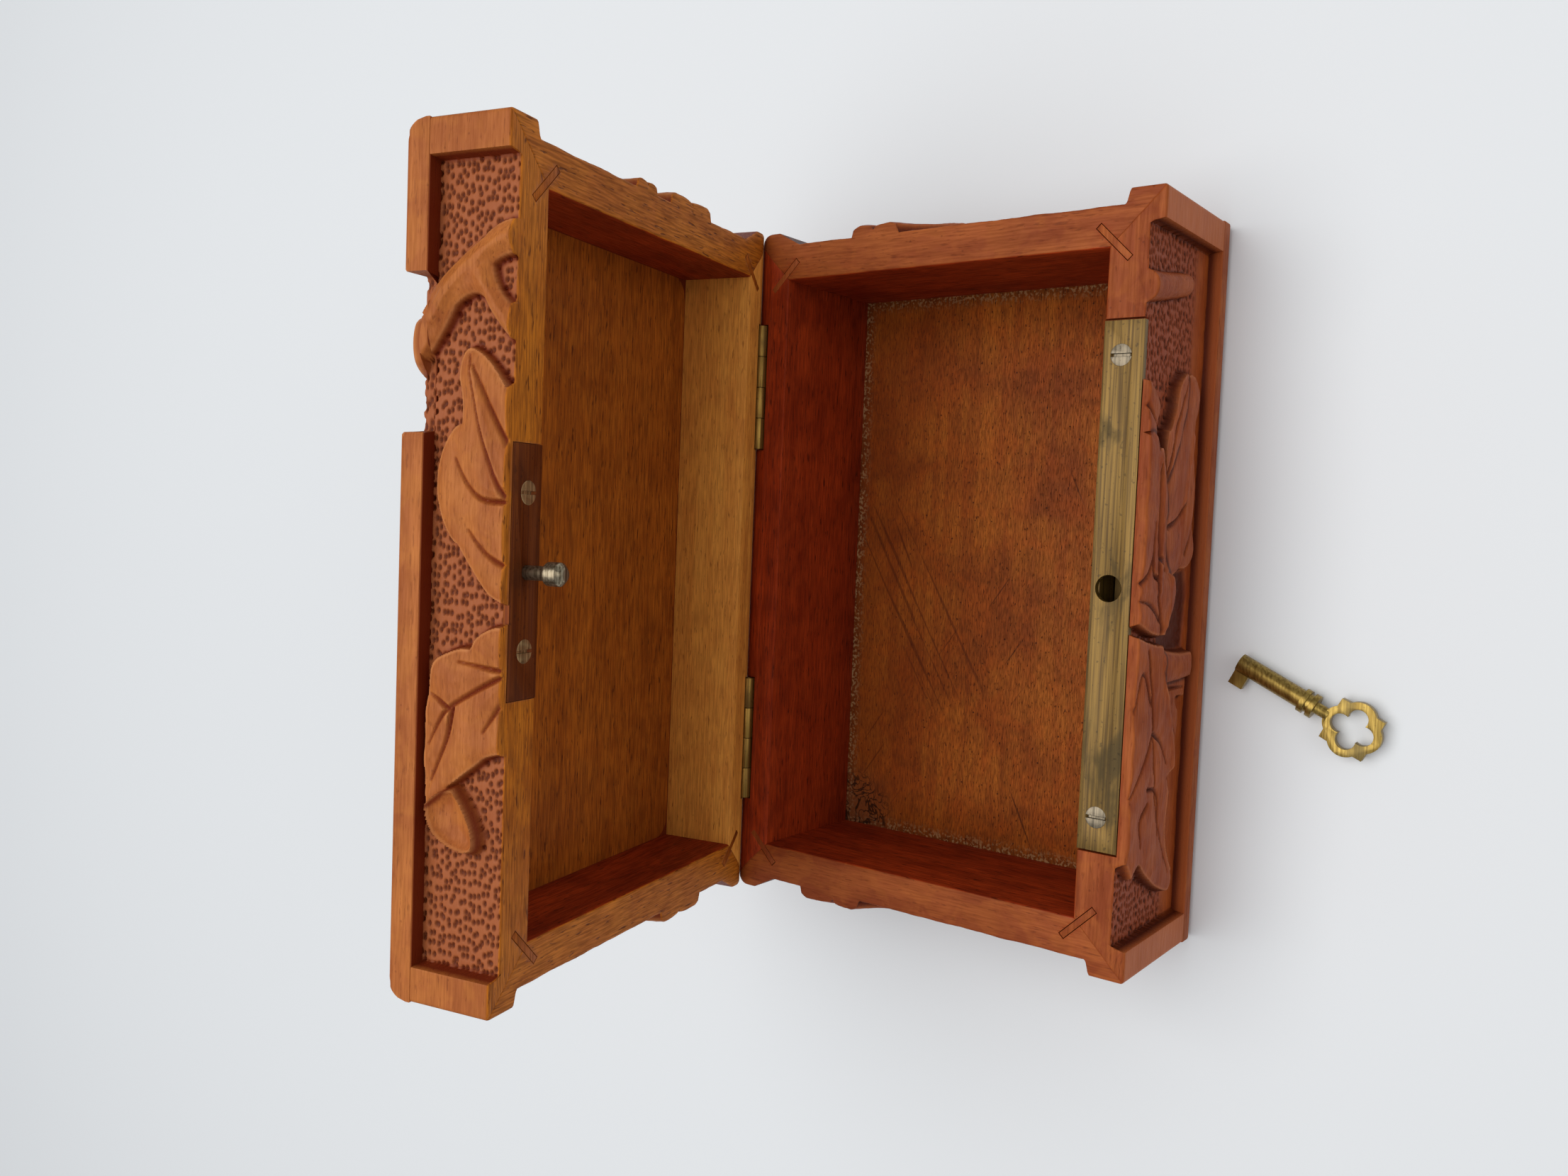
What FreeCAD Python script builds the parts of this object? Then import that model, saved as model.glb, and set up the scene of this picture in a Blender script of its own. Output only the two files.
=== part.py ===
import FreeCAD, Part
import math
import os
import Sketcher

doc = FreeCAD.newDocument("carved_box")
sheet = doc.addObject("Spreadsheet::Sheet", "Sizes")

# Driving sizes in millimetres and degrees: name, value, what it is
driving_sizes = [
    ("box_width", 150, "length over the corner posts"),
    ("box_depth", 97, "front post faces to the back"),
    ("base_height", 38, "table to the base rim"),
    ("lid_wall_height", 16.5, "lid rim to the top board"),
    ("bottom_thickness", 5.5, "bottom board"),
    ("top_thickness", 5, "top board"),
    ("wall", 10.8, "wall stock before carving"),
    ("carve_depth", 2.9, "carved ground below the posts"),
    ("leaf_height", 2.5, "leaves above the carved ground"),
    ("front_post", 6.2, "corner post on the front face"),
    ("side_post", 7.5, "front corner post on an end face"),
    ("back_post", 7.5, "back corner post on an end face"),
    ("back_post_slope", 5.5, "sloping side of the back post"),
    ("post_slope", 0.5, "sloping side of the other posts"),
    ("back_corner_radius", 5.5, "upright back corners"),
    ("rim_radius", 6, "rounded back edge of each rim"),
    ("rim_gap", 0.2, "base rim to lid rim when closed"),
    ("open_angle", 78, "lid opening at its stop"),
    ("top_edge_radius", 4, "rounded ends and back of the top board"),
    ("bottom_edge_radius", 2.5, "rounded edge of the bottom board"),
    ("top_border", 6.2, "flat border round the carved top"),
    ("top_carve", 2.4, "depth of the carved top"),
    ("top_gap_start", 23, "opening in the front border, first side"),
    ("top_gap_end", 49.5, "opening in the front border, second side"),
    ("top_gap_slant", 2.5, "slant of the opening's ends"),
    ("spline_length", 9, "tongue across the mitre"),
    ("spline_thickness", 1.2, "tongue thickness"),
    ("spline_inset", 1, "tongue centre from the inner corner, each way"),
    ("hinge_inset", 34.6, "hinge centre from the end of the box"),
    ("hinge_length", 28, "barrel length"),
    ("knuckle_radius", 1.3, "hinge barrel"),
    ("pin_radius", 0.65, "hinge pin"),
    ("leaf_thickness", 0.9, "hinge leaf"),
    ("leaf_depth", 10, "hinge leaf below the axis"),
    ("barrel_clearance", 0.25, "wood round the barrel"),
    ("knuckle_clearance", 0.12, "between neighbouring knuckles"),
    ("running_clearance", 0.05, "pin in the lid knuckles"),
    ("nail_shank", 0.9, "square shank of a hinge nail"),
    ("nail_head", 1.7, "square head of a hinge nail"),
    ("nail_head_thickness", 0.4, "hinge nail head"),
    ("nail_length", 8, "hinge nail from the back face"),
    ("nail_spacing", 16, "nails of one leaf"),
    ("nail_drop", 6, "nails below or above the axis"),
    ("plate_length", 101, "lock face plate"),
    ("plate_thickness", 1.5, "lock face plate"),
    ("plate_end_gap", 0.4, "face plate to the end of its rebate"),
    ("stud_hole_radius", 2.6, "hole in the face plate"),
    ("stud_setback", 3.5, "stud centre from the inner face"),
    ("screw_spacing", 88, "face plate screws"),
    ("screw_head_radius", 2.1, "countersunk head"),
    ("screw_shank_radius", 1.05, "screw shank"),
    ("screw_length", 11, "blunt screw overall"),
    ("slot_width", 0.6, "screw slot"),
    ("slot_depth", 0.6, "screw slot"),
    ("lock_width", 46, "lock back plate"),
    ("lock_height", 25.7, "lock back plate below the face plate"),
    ("lock_plate", 1.2, "lock back plate thickness"),
    ("cap_margin", 3, "cap inside the back plate's edge"),
    ("cap_depth", 5.4, "cap in front of the back plate"),
    ("cap_sheet", 0.7, "cap sheet thickness"),
    ("key_drop", 19, "key axis below the rim"),
    ("keyhole_radius", 2.3, "round of the keyhole"),
    ("keyhole_slot", 2, "width of the keyhole slot"),
    ("keyhole_reach", 5.2, "keyhole slot below the key axis"),
    ("drill_pin_radius", 0.95, "pin in the pipe key"),
    ("drill_pin_length", 6.5, "pin in front of the back plate"),
    ("bolt_thickness", 1.2, "bolt plate"),
    ("bolt_clearance", 0.3, "bolt to the back plate"),
    ("bolt_travel", 5, "bolt slide"),
    ("bolt_rear_gap", 1.7, "bolt to the cap's end when drawn back"),
    ("bolt_front_gap", 5.3, "bolt to the cap's other end when shot"),
    ("fork_thickness", 1, "forked top of the bolt"),
    ("fork_drop", 0.6, "fork below the face plate"),
    ("fork_slot", 2.9, "fork slot round the stud neck"),
    ("spring_sheet", 0.4, "bolt spring"),
    ("spring_width", 2.5, "bolt spring"),
    ("spring_inset", 1, "bolt spring from the bolt's ends"),
    ("strike_length", 43.2, "strike plate"),
    ("strike_thickness", 1.2, "strike plate"),
    ("strike_screw_spacing", 26.8, "strike plate screws"),
    ("stud_length", 8, "stud below the lid rim"),
    ("stud_neck_radius", 1.25, "stud neck"),
    ("stud_neck_length", 3.8, "stud neck"),
    ("stud_head_radius", 2.05, "stud head"),
    ("stud_flare", 0.8, "cone under the stud head"),
    ("stud_dome", 1, "rounded end of the stud"),
    ("key_barrel_radius", 1.95, "key barrel"),
    ("key_barrel_length", 14, "tip to collar"),
    ("key_bore_radius", 1.1, "bore of the pipe key"),
    ("key_bore_depth", 9, "bore of the pipe key"),
    ("key_collar_radius", 2.5, "collar beads"),
    ("key_bead", 1.1, "width of one bead"),
    ("key_bead_gap", 0.8, "between the beads"),
    ("key_neck_radius", 1.2, "neck before the bow"),
    ("key_neck_length", 2, "collar to bow"),
    ("bit_length", 3, "bit along the barrel"),
    ("bit_reach", 2.7, "bit beyond the barrel"),
    ("bit_thickness", 1.6, "bit thickness"),
    ("bow_lobe_radius", 3.4, "outer lobes of the bow"),
    ("bow_lobe_offset", 2.4, "lobe centres from the bow centre"),
    ("bow_ring", 1.5, "width of the bow ring"),
    ("bow_cusp", 6.3, "points of the bow from its centre"),
    ("bow_sweep", 52, "half of a lobe's arc in degrees"),
    ("bow_thickness", 1.9, "bow thickness"),
    ("key_tip_x", -15, "key tip on the table"),
    ("key_front_gap", 7.5, "key tip in front of the box"),
    ("key_turn", 63.8, "key axis from the box's length"),
]
for row, (alias, value, note) in enumerate(driving_sizes, 1):
    sheet.set(f"A{row}", note)
    sheet.set(f"B{row}", str(value))
    sheet.setAlias(f"B{row}", alias)
doc.recompute()


class Size:
    """A number that also keeps the sheet formula it comes from."""

    def __init__(self, value, text):
        self.value = value
        self.text = text

    def __add__(self, other):
        return combine(self, other, "+", self.value + number(other))

    def __sub__(self, other):
        return combine(self, other, "-", self.value - number(other))

    def __mul__(self, other):
        return combine(self, other, "*", self.value * number(other))

    def __truediv__(self, other):
        return combine(self, other, "/", self.value / number(other))

    def __rsub__(self, other):
        return combine(other, self, "-", number(other) - self.value)

    def __neg__(self):
        return Size(-self.value, f"(0 - {self.text})")

    __radd__ = __add__
    __rmul__ = __mul__


def number(item):
    return item.value if isinstance(item, Size) else item


def formula(item):
    return item.text if isinstance(item, Size) else f"({item})"


def combine(left, right, sign, value):
    return Size(value, f"({formula(left)} {sign} {formula(right)})")


def tangent(angle):
    return Size(math.tan(math.radians(angle.value)), f"tan({angle.text})")


size = {alias: Size(sheet.get(alias), f"Sizes.{alias}") for alias, value, note in driving_sizes}

# Places that several pieces share
half_width = size["box_width"] / 2
half_depth = size["box_depth"] / 2
inner_x = half_width - size["wall"]
inner_y = half_depth - size["wall"]
ground_x = half_width - size["carve_depth"]
ground_y = half_depth - size["carve_depth"]
floor_z = size["bottom_thickness"]
base_rim = size["base_height"]
lid_rim = base_rim + size["rim_gap"]
lid_wall_top = lid_rim + size["lid_wall_height"]
lid_top = lid_wall_top + size["top_thickness"]
arc_drop = size["rim_radius"] + size["rim_gap"] / 2
axis_y = half_depth - size["rim_radius"] + arc_drop * tangent(size["open_angle"] / 4)
axis_z = base_rim + size["rim_gap"] / 2
stud_y = -inner_y - size["stud_setback"]
lock_top = base_rim - size["plate_thickness"]
key_axis_z = base_rim - size["key_drop"]
lock_back_y = -inner_y - size["lock_plate"]
knuckle_length = size["hinge_length"] / 4


def opened():
    """The placement that swings a lid piece, drawn closed, to its stop."""
    turn = FreeCAD.Rotation(FreeCAD.Vector(-1, 0, 0), size["open_angle"].value)
    return FreeCAD.Placement(FreeCAD.Vector(), turn, FreeCAD.Vector(0, axis_y.value, axis_z.value))


# Helpers for bodies, sketches and features
def bind(item, prop, amount):
    setattr(item, prop, number(amount))
    if isinstance(amount, Size):
        item.setExpression(prop, amount.text)


pieces = []


def new_body(label):
    body = doc.addObject("PartDesign::Body", label)
    body.Label = label
    pieces.append(body)
    return body


def new_sketch(body, plane, offset=0):
    sketch = body.newObject("Sketcher::SketchObject", f"{body.Name}_{plane}_sketch")
    support = next(item for item in body.Origin.OriginFeatures if item.Role == f"{plane}_Plane")
    sketch.AttachmentSupport = [(support, "")]
    sketch.MapMode = "FlatFace"
    sketch.AttachmentOffset = FreeCAD.Placement(FreeCAD.Vector(0, 0, number(offset)), FreeCAD.Rotation())
    if isinstance(offset, Size):
        sketch.setExpression("AttachmentOffset.Base.z", offset.text)
    return sketch


def fix_point(sketch, geometry, end, point):
    for kind, amount in zip(("DistanceX", "DistanceY"), point):
        index = sketch.addConstraint(Sketcher.Constraint(kind, -1, 1, geometry, end, number(amount)))
        if isinstance(amount, Size):
            sketch.setExpression(f"Constraints[{index}]", amount.text)


def vector(point):
    return FreeCAD.Vector(number(point[0]), number(point[1]), 0)


def draw_polygon(sketch, corners):
    first = sketch.GeometryCount
    count = len(corners)
    for index in range(count):
        sketch.addGeometry(Part.LineSegment(vector(corners[index]), vector(corners[(index + 1) % count])))
    for index in range(count):
        following = first + (index + 1) % count
        sketch.addConstraint(Sketcher.Constraint("Coincident", first + index, 2, following, 1))
        fix_point(sketch, first + index, 1, corners[index])


def draw_rectangle(sketch, low, high):
    draw_polygon(sketch, [low, (high[0], low[1]), high, (low[0], high[1])])


def draw_square(sketch, centre, across):
    half = across / 2
    draw_rectangle(sketch, (centre[0] - half, centre[1] - half), (centre[0] + half, centre[1] + half))


def draw_circle(sketch, centre, radius):
    axis = FreeCAD.Vector(0, 0, 1)
    geometry = sketch.addGeometry(Part.Circle(vector(centre), axis, number(radius)))
    fix_point(sketch, geometry, 3, centre)
    index = sketch.addConstraint(Sketcher.Constraint("Radius", geometry, number(radius)))
    if isinstance(radius, Size):
        sketch.setExpression(f"Constraints[{index}]", radius.text)


def draw_corner(sketch, corner, radius, side, rise):
    """The waste outside a rounded corner; side and rise are the corner's directions."""
    centre = (corner[0] - radius * side, corner[1] - radius * rise)
    on_side = (corner[0], centre[1])
    on_rise = (centre[0], corner[1])
    first_angle = math.atan2(rise, side) - math.pi / 4
    circle = Part.Circle(vector(centre), FreeCAD.Vector(0, 0, 1), radius.value)
    sketch.addGeometry(Part.LineSegment(vector(on_rise), vector(corner)))
    sketch.addGeometry(Part.LineSegment(vector(corner), vector(on_side)))
    sketch.addGeometry(Part.ArcOfCircle(circle, first_angle, first_angle + math.pi / 2))
    side_end, rise_end = (1, 2) if side * rise > 0 else (2, 1)
    sketch.addConstraint(Sketcher.Constraint("Coincident", 0, 2, 1, 1))
    sketch.addConstraint(Sketcher.Constraint("Coincident", 1, 2, 2, side_end))
    sketch.addConstraint(Sketcher.Constraint("Coincident", 0, 1, 2, rise_end))
    fix_point(sketch, 1, 1, corner)
    fix_point(sketch, 2, 3, centre)
    index = sketch.addConstraint(Sketcher.Constraint("DistanceY", -1, 1, 1, 2, number(on_side[1])))
    sketch.setExpression(f"Constraints[{index}]", on_side[1].text)
    index = sketch.addConstraint(Sketcher.Constraint("DistanceX", -1, 1, 0, 1, number(on_rise[0])))
    sketch.setExpression(f"Constraints[{index}]", on_rise[0].text)
    index = sketch.addConstraint(Sketcher.Constraint("Radius", 2, radius.value))
    sketch.setExpression(f"Constraints[{index}]", radius.text)


def draw_outline(sketch, points):
    """A closed outline of arcs: corner, point on the way, corner, point on the way."""
    count = len(points)
    for index in range(0, count, 2):
        start, way, end = [vector(points[(index + step) % count]) for step in range(3)]
        straight = (way - start).cross(end - start).Length < 0.001
        sketch.addGeometry(Part.LineSegment(start, end) if straight else Part.Arc(start, way, end))


def pad(body, sketch, length, backwards=False, centred=False):
    feature = body.newObject("PartDesign::Pad", f"{body.Name}_pad")
    feature.Profile = sketch
    bind(feature, "Length", length)
    feature.Reversed = backwards
    feature.Midplane = centred
    return feature


def pocket(body, sketch, depth=None, backwards=False):
    """A pocket of the given depth, or right through the body both ways."""
    doc.recompute()
    before = body.Shape.Volume
    feature = body.newObject("PartDesign::Pocket", f"{body.Name}_pocket")
    feature.Profile = sketch
    feature.Reversed = backwards
    if depth is None:
        feature.Type = "ThroughAll"
        feature.Midplane = True
    else:
        bind(feature, "Length", depth)
    doc.recompute()
    if body.Shape.Volume >= before:
        raise ValueError(f"{body.Label}: a pocket cut nothing")
    return feature


def revolve(body, sketch, axis):
    feature = body.newObject("PartDesign::Revolution", f"{body.Name}_revolution")
    feature.Profile = sketch
    feature.ReferenceAxis = (sketch, [axis])
    feature.Angle = 360
    return feature


def round_edges(body, radius, wanted):
    doc.recompute()
    names = [f"Edge{n}" for n, edge in enumerate(body.Shape.Edges, 1) if wanted(edge)]
    base = body.Tip
    feature = body.newObject("PartDesign::Fillet", f"{body.Name}_fillet")
    feature.Base = (base, names)
    bind(feature, "Radius", radius)
    return feature


def group(label, members):
    """One node of identical fasteners."""
    compound = doc.addObject("Part::Compound", label)
    compound.Label = label
    compound.Links = members
    for member in members:
        pieces.remove(member)
    pieces.append(compound)
    return compound


def bar(name, start, along, section):
    """A box-shaped blank for a boolean: lowest corner, then its size."""
    item = doc.addObject("Part::Box", name)
    for prop, amount in zip(("Length", "Width", "Height"), (along, section[0], section[1])):
        bind(item, prop, amount)
    for axis, amount in zip("xyz", start):
        item.setExpression(f"Placement.Base.{axis}", formula(amount))
    return item


def rod(name, start, length, radius):
    """A round blank along X from its start point."""
    item = doc.addObject("Part::Cylinder", name)
    item.Placement = FreeCAD.Placement(FreeCAD.Vector(), FreeCAD.Rotation(FreeCAD.Vector(0, 1, 0), 90))
    bind(item, "Radius", radius)
    bind(item, "Height", length)
    for axis, amount in zip("xyz", start):
        item.setExpression(f"Placement.Base.{axis}", formula(amount))
    return item


# Mitred walls. A wall's plan carries its mitres, the tongue slots and the corner posts.
slot_near = size["spline_inset"] - size["spline_thickness"] / (2 * math.sqrt(2))
slot_far = size["spline_inset"] + size["spline_thickness"] / (2 * math.sqrt(2))
slot_reach = size["spline_length"] / (2 * math.sqrt(2))


def mitre(side, end, into):
    """Inner corner to outer corner at one end, stepping into the tongue slot."""
    corner = (inner_x * side, inner_y * end)
    near = (corner[0] + slot_near * side, corner[1] + slot_near * end)
    far = (corner[0] + slot_far * side, corner[1] + slot_far * end)
    step = (slot_reach * side * into, slot_reach * end * -into)
    near_bottom = (near[0] + step[0], near[1] + step[1])
    far_bottom = (far[0] + step[0], far[1] + step[1])
    return [corner, near, near_bottom, far_bottom, far, (half_width * side, half_depth * end)]


def front_plan():
    post_x = half_width - size["front_post"]
    foot_x = post_x - size["post_slope"]
    right = mitre(1, -1, -1) + [(post_x, -half_depth), (foot_x, -ground_y)]
    return right + [(-x, y) for x, y in reversed(right)]


def back_plan():
    right = mitre(1, 1, -1)
    return right + [(-x, y) for x, y in reversed(right)]


def side_plan(side):
    front_post = -half_depth + size["side_post"]
    back_post = half_depth - size["back_post"]
    posts = [
        (half_width * side, back_post),
        (ground_x * side, back_post - size["back_post_slope"]),
        (ground_x * side, front_post + size["post_slope"]),
        (half_width * side, front_post),
    ]
    return mitre(side, 1, 1) + posts + list(reversed(mitre(side, -1, 1)))


def wall_body(label, plan, bottom, height):
    body = new_body(label)
    sketch = new_sketch(body, "XY", bottom)
    draw_polygon(sketch, plan)
    pad(body, sketch, height)
    return body


def round_back_corners(body, sides):
    for side in sides:
        sketch = new_sketch(body, "XY")
        draw_corner(sketch, (half_width * side, half_depth), size["back_corner_radius"], side, 1)
        pocket(body, sketch)


def round_rim(body, rim, rise):
    sketch = new_sketch(body, "YZ")
    draw_corner(sketch, (half_depth, rim), size["rim_radius"], 1, rise)
    pocket(body, sketch)


# Carved leaves. Outlines are drawn in millimetres from the middle of the rim and stretch with the field.
drawn_half_width = 75
drawn_half_depth = 48.5
drawn_base_field = 32.5
drawn_lid_field = 16.5

base_front_leaves = [
    # left leaf: three tips and the stalk that runs down to the bottom board
    [(-8.6, 0), (-32, 0), (-50, 0), (-53, -1.1), (-55.5, -3), (-53, -6), (-54.5, -8), (-59, -15),
     (-61.5, -23), (-59.5, -25), (-57, -24), (-49, -20.5), (-42, -20), (-38, -20), (-36, -22.5),
     (-29, -19.5), (-23, -18), (-22, -24), (-24, -29), (-18, -30), (-13.5, -29.5), (-13, -24),
     (-12.5, -17), (-10, -8)],
    # right leaf, over the keyhole and down to its long lower lobe
    [(-5.8, 0), (12, 0), (28, 0), (30, -4), (27, -7.5), (33, -11), (37, -14), (41, -16.5), (42.5, -20),
     (42, -25), (36, -26.5), (27, -25), (18, -25), (13, -26.5), (8, -28), (4, -24), (3.5, -16.5),
     (1, -14.6), (-2, -16.5), (-5, -14.8), (-9, -14.5), (-8.5, -7)],
    # small folded tip beside it
    [(31, 0), (35, 0), (39.5, 0), (37.8, -3.2), (35, -6), (33, -5.8), (31.4, -4.8), (31.5, -2.4)],
    # stalk end beside the right post
    [(53, 0), (56.5, 0), (60.5, 0), (61, -10), (62, -19), (59.8, -21.5), (57.5, -19), (56, -8)],
]
lid_front_leaves = [
    [(-30, 0), (-20, 0), (-9, 0), (-10, 3), (-11.3, 6), (-12.2, 8.5), (-14.3, 11), (-15.5, 13),
     (-16.5, 15.2), (-28, 15.4), (-40, 15), (-36.5, 9), (-32.5, 4), (-31.5, 2)],
    [(-42, 15), (-46.5, 12), (-47, 6.5), (-43, 5.2), (-38.5, 8.5), (-39.5, 11)],
    [(-5.5, 0), (12, 0), (28, 0), (31, 1.5), (33.5, 3.5), (36, 5.5), (36.8, 7.5), (35, 9.4), (32, 10),
     (28, 9.6), (24, 9.8), (22, 12.2), (18, 13.2), (13, 14.4), (8.5, 12.8), (2, 8), (-2, 4.5), (-4.5, 2)],
    # forked stalk that climbs over the edge of the top
    [(37, 0), (41, 3), (45, 5.5), (45.8, 8.2), (44, 11.5), (40.5, 14.8), (36.5, 16.4), (40, 16.4),
     (44, 16.4), (50, 12.4), (55, 6), (56.8, 3), (57.5, 0), (55, 0), (52.2, 0), (51.6, 2), (50.5, 4),
     (46.5, 2.8), (43.5, 0), (40, 0)],
]
base_left_leaves = [
    [(27, 0), (20, 0), (13, 0), (9, -4), (3, -5), (4, -9), (8, -12), (2, -16), (-3, -23), (4, -23),
     (11, -20), (14, -24), (19, -28), (21, -22), (22, -17), (28, -16), (33, -17), (31, -12), (27, -9),
     (28, -5)],
]
base_right_leaves = [
    [(20, 0), (16, 0), (11, 0), (6, -3), (-4, -5), (-1, -9), (3, -12), (-3, -18), (-6, -25), (2, -23),
     (8, -20), (12, -24), (17, -27), (18, -22), (18, -17), (24, -16), (30, -18), (27, -11), (21, -8),
     (22, -4)],
]
lid_left_leaves = [
    [(24, 0), (17, 0), (9, 0), (6, 4), (0, 6), (4, 9), (8, 11), (8, 13), (10, 15.5), (15, 15.2),
     (20, 15.5), (22, 11), (26, 8), (25, 4)],
]
lid_right_leaves = [
    [(18, 0), (11, 0), (3, 0), (1, 4), (-4, 7), (1, 9), (4, 11), (5, 13), (8, 15.5), (13, 15.2),
     (18, 15.5), (19, 11), (23, 8), (20, 4)],
    [(-3, 0), (-6, 0), (-10, 0), (-11, 5), (-15, 9), (-11, 8), (-7, 6), (-4, 3)],
]
# On the top the second number is along the depth, from the middle to the back
top_leaves = [
    [(41.5, -48.5), (41, -42), (37, -34), (32, -26), (23, -18.5), (21, -18.5), (20.5, -20), (28, -29),
     (32, -36), (34, -42), (34.5, -48.5), (38, -48.5)],
    [(19, -17), (10, -22), (4, -30), (-2, -25), (-5, -18), (-14, -22), (-25, -22), (-21, -14), (-14, -8),
     (-20, -2), (-23, 8), (-14, 7), (-6, 3), (-3, 10), (3, 17), (7, 9), (8, 1), (16, 0), (24, 3),
     (20, -4), (16, -10), (19, -13)],
    [(-30, -12), (-38, -18), (-44, -27), (-48, -20), (-49, -13), (-56, -13), (-62, -9), (-57, -4),
     (-50, -2), (-52, 6), (-51, 15), (-43, 11), (-37, 5), (-31, 9), (-25, 12), (-25, 4), (-28, -2),
     (-28, -8)],
    [(34, -10), (40, -14), (42, -22), (48, -17), (51, -11), (57, -12), (63, -10), (60, -4), (54, 0),
     (58, 7), (60, 16), (51, 13), (45, 8), (40, 14), (33, 18), (33, 10), (35, 3), (31, -1), (27, -2),
     (31, -5)],
    [(-10, 20), (-18, 17), (-26, 20), (-24, 26), (-20, 30), (-13, 30), (-6, 34), (-3, 29), (-3, 24),
     (-6, 21)],
]
top_stalk_start, top_stalk_end = 34.5, 41.5


def field_outline(points, stretch_x, rim, stretch_z):
    return [(x * stretch_x.value, rim.value + z * stretch_z.value) for x, z in points]


def carve_leaves(body, plane, outlines, ground, stretch, rim, rise, backwards=False):
    sketch = new_sketch(body, plane, ground)
    for points in outlines:
        draw_outline(sketch, field_outline(points, stretch, rim, rise))
    pad(body, sketch, size["leaf_height"], backwards)


along_width = half_width / drawn_half_width
along_depth = half_depth / drawn_half_depth
down_base = (base_rim - floor_z) / drawn_base_field
up_lid = size["lid_wall_height"] / drawn_lid_field


# Cuts for the hinges, shared by base and lid; down is -1 in the base and 1 in the lid
leaf_front_y = axis_y - size["knuckle_radius"]
leaf_back_y = leaf_front_y + size["leaf_thickness"]
hinge_centres = {"left": size["hinge_inset"] - half_width, "right": half_width - size["hinge_inset"]}


def cut_hinge_seats(body, down):
    for centre in hinge_centres.values():
        end = centre + size["hinge_length"] / 2
        sketch = new_sketch(body, "YZ", end + size["barrel_clearance"])
        draw_circle(sketch, (axis_y, axis_z), size["knuckle_radius"] + size["barrel_clearance"])
        pocket(body, sketch, size["hinge_length"] + size["barrel_clearance"] * 2)
        sketch = new_sketch(body, "YZ", end)
        tip_z = axis_z + size["leaf_depth"] * down
        draw_rectangle(sketch, (leaf_front_y, tip_z), (leaf_back_y, axis_z))
        pocket(body, sketch, size["hinge_length"])
    cut_nail_holes(body, down)


def nail_places(down):
    height = axis_z + size["nail_drop"] * down
    half = size["nail_spacing"] / 2
    return [(centre + half * side, height) for centre in hinge_centres.values() for side in (-1, 1)]


def cut_nail_holes(body, down):
    shank = new_sketch(body, "XZ", -half_depth)
    head = new_sketch(body, "XZ", -half_depth)
    for place in nail_places(down):
        draw_square(shank, place, size["nail_shank"])
        draw_square(head, place, size["nail_head"])
    pocket(body, shank, size["nail_length"], True)
    pocket(body, head, size["nail_head_thickness"], True)


def screw_holes(body, spacing, start, backwards):
    sketch = new_sketch(body, "XY", start)
    for side in (-1, 1):
        draw_circle(sketch, (spacing * side / 2, stud_y), size["screw_shank_radius"])
    pocket(body, sketch, size["screw_length"], backwards)


def base_front_wall():
    body = wall_body("base_front_wall", front_plan(), floor_z, base_rim - floor_z)
    carve_leaves(body, "XZ", base_front_leaves, ground_y, along_width, base_rim, down_base)
    rebate = new_sketch(body, "XY", base_rim)
    half = size["plate_length"] / 2 + size["plate_end_gap"]
    draw_rectangle(rebate, (-half, -ground_y), (half, -inner_y))
    pocket(body, rebate, size["plate_thickness"])
    plate_bed = new_sketch(body, "XY", lock_top)
    draw_rectangle(plate_bed, (size["lock_width"] / -2, lock_back_y), (size["lock_width"] / 2, -inner_y))
    pocket(body, plate_bed, size["lock_height"])
    cap_bed = new_sketch(body, "XY", lock_top)
    cap_half = size["lock_width"] / 2 - size["cap_margin"]
    draw_rectangle(cap_bed, (-cap_half, lock_back_y - size["cap_depth"]), (cap_half, lock_back_y))
    pocket(body, cap_bed, size["lock_height"] - size["cap_margin"])
    cut_keyhole(body)
    screw_holes(body, size["screw_spacing"], base_rim, False)
    return body


def cut_keyhole(body):
    round_part = new_sketch(body, "XZ", -lock_back_y)
    draw_circle(round_part, (0, key_axis_z), size["keyhole_radius"])
    pocket(body, round_part, half_depth + lock_back_y, True)
    slot = new_sketch(body, "XZ", -lock_back_y)
    half = size["keyhole_slot"] / 2
    draw_rectangle(slot, (-half, key_axis_z - size["keyhole_reach"]), (half, key_axis_z))
    pocket(body, slot, half_depth + lock_back_y, True)


def side_wall(label, side, bottom, height, leaves, rim, stretch):
    body = wall_body(label, side_plan(side), bottom, height)
    carve_leaves(body, "YZ", leaves, ground_x * side, along_depth, rim, stretch, side < 0)
    round_back_corners(body, [side])
    return body


def base_walls():
    base_front_wall()
    height = base_rim - floor_z
    back = wall_body("base_back_wall", back_plan(), floor_z, height)
    round_back_corners(back, (-1, 1))
    round_rim(back, base_rim, 1)
    cut_hinge_seats(back, -1)
    for name, side, leaves in (("left", -1, base_left_leaves), ("right", 1, base_right_leaves)):
        body = side_wall(f"base_{name}_wall", side, floor_z, height, leaves, base_rim, down_base)
        round_rim(body, base_rim, 1)


def lid_walls():
    height = size["lid_wall_height"]
    front = wall_body("lid_front_wall", front_plan(), lid_rim, height)
    carve_leaves(front, "XZ", lid_front_leaves, ground_y, along_width, lid_rim, up_lid)
    rebate = new_sketch(front, "XY", lid_rim)
    half = size["strike_length"] / 2
    draw_rectangle(rebate, (-half, -ground_y), (half, -inner_y))
    pocket(front, rebate, size["strike_thickness"], True)
    screw_holes(front, size["strike_screw_spacing"], lid_rim, True)
    front.Placement = opened()
    back = wall_body("lid_back_wall", back_plan(), lid_rim, height)
    round_back_corners(back, (-1, 1))
    round_rim(back, lid_rim, -1)
    cut_hinge_seats(back, 1)
    back.Placement = opened()
    for name, side, leaves in (("left", -1, lid_left_leaves), ("right", 1, lid_right_leaves)):
        body = side_wall(f"lid_{name}_wall", side, lid_rim, height, leaves, lid_rim, up_lid)
        round_rim(body, lid_rim, -1)
        body.Placement = opened()


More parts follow.
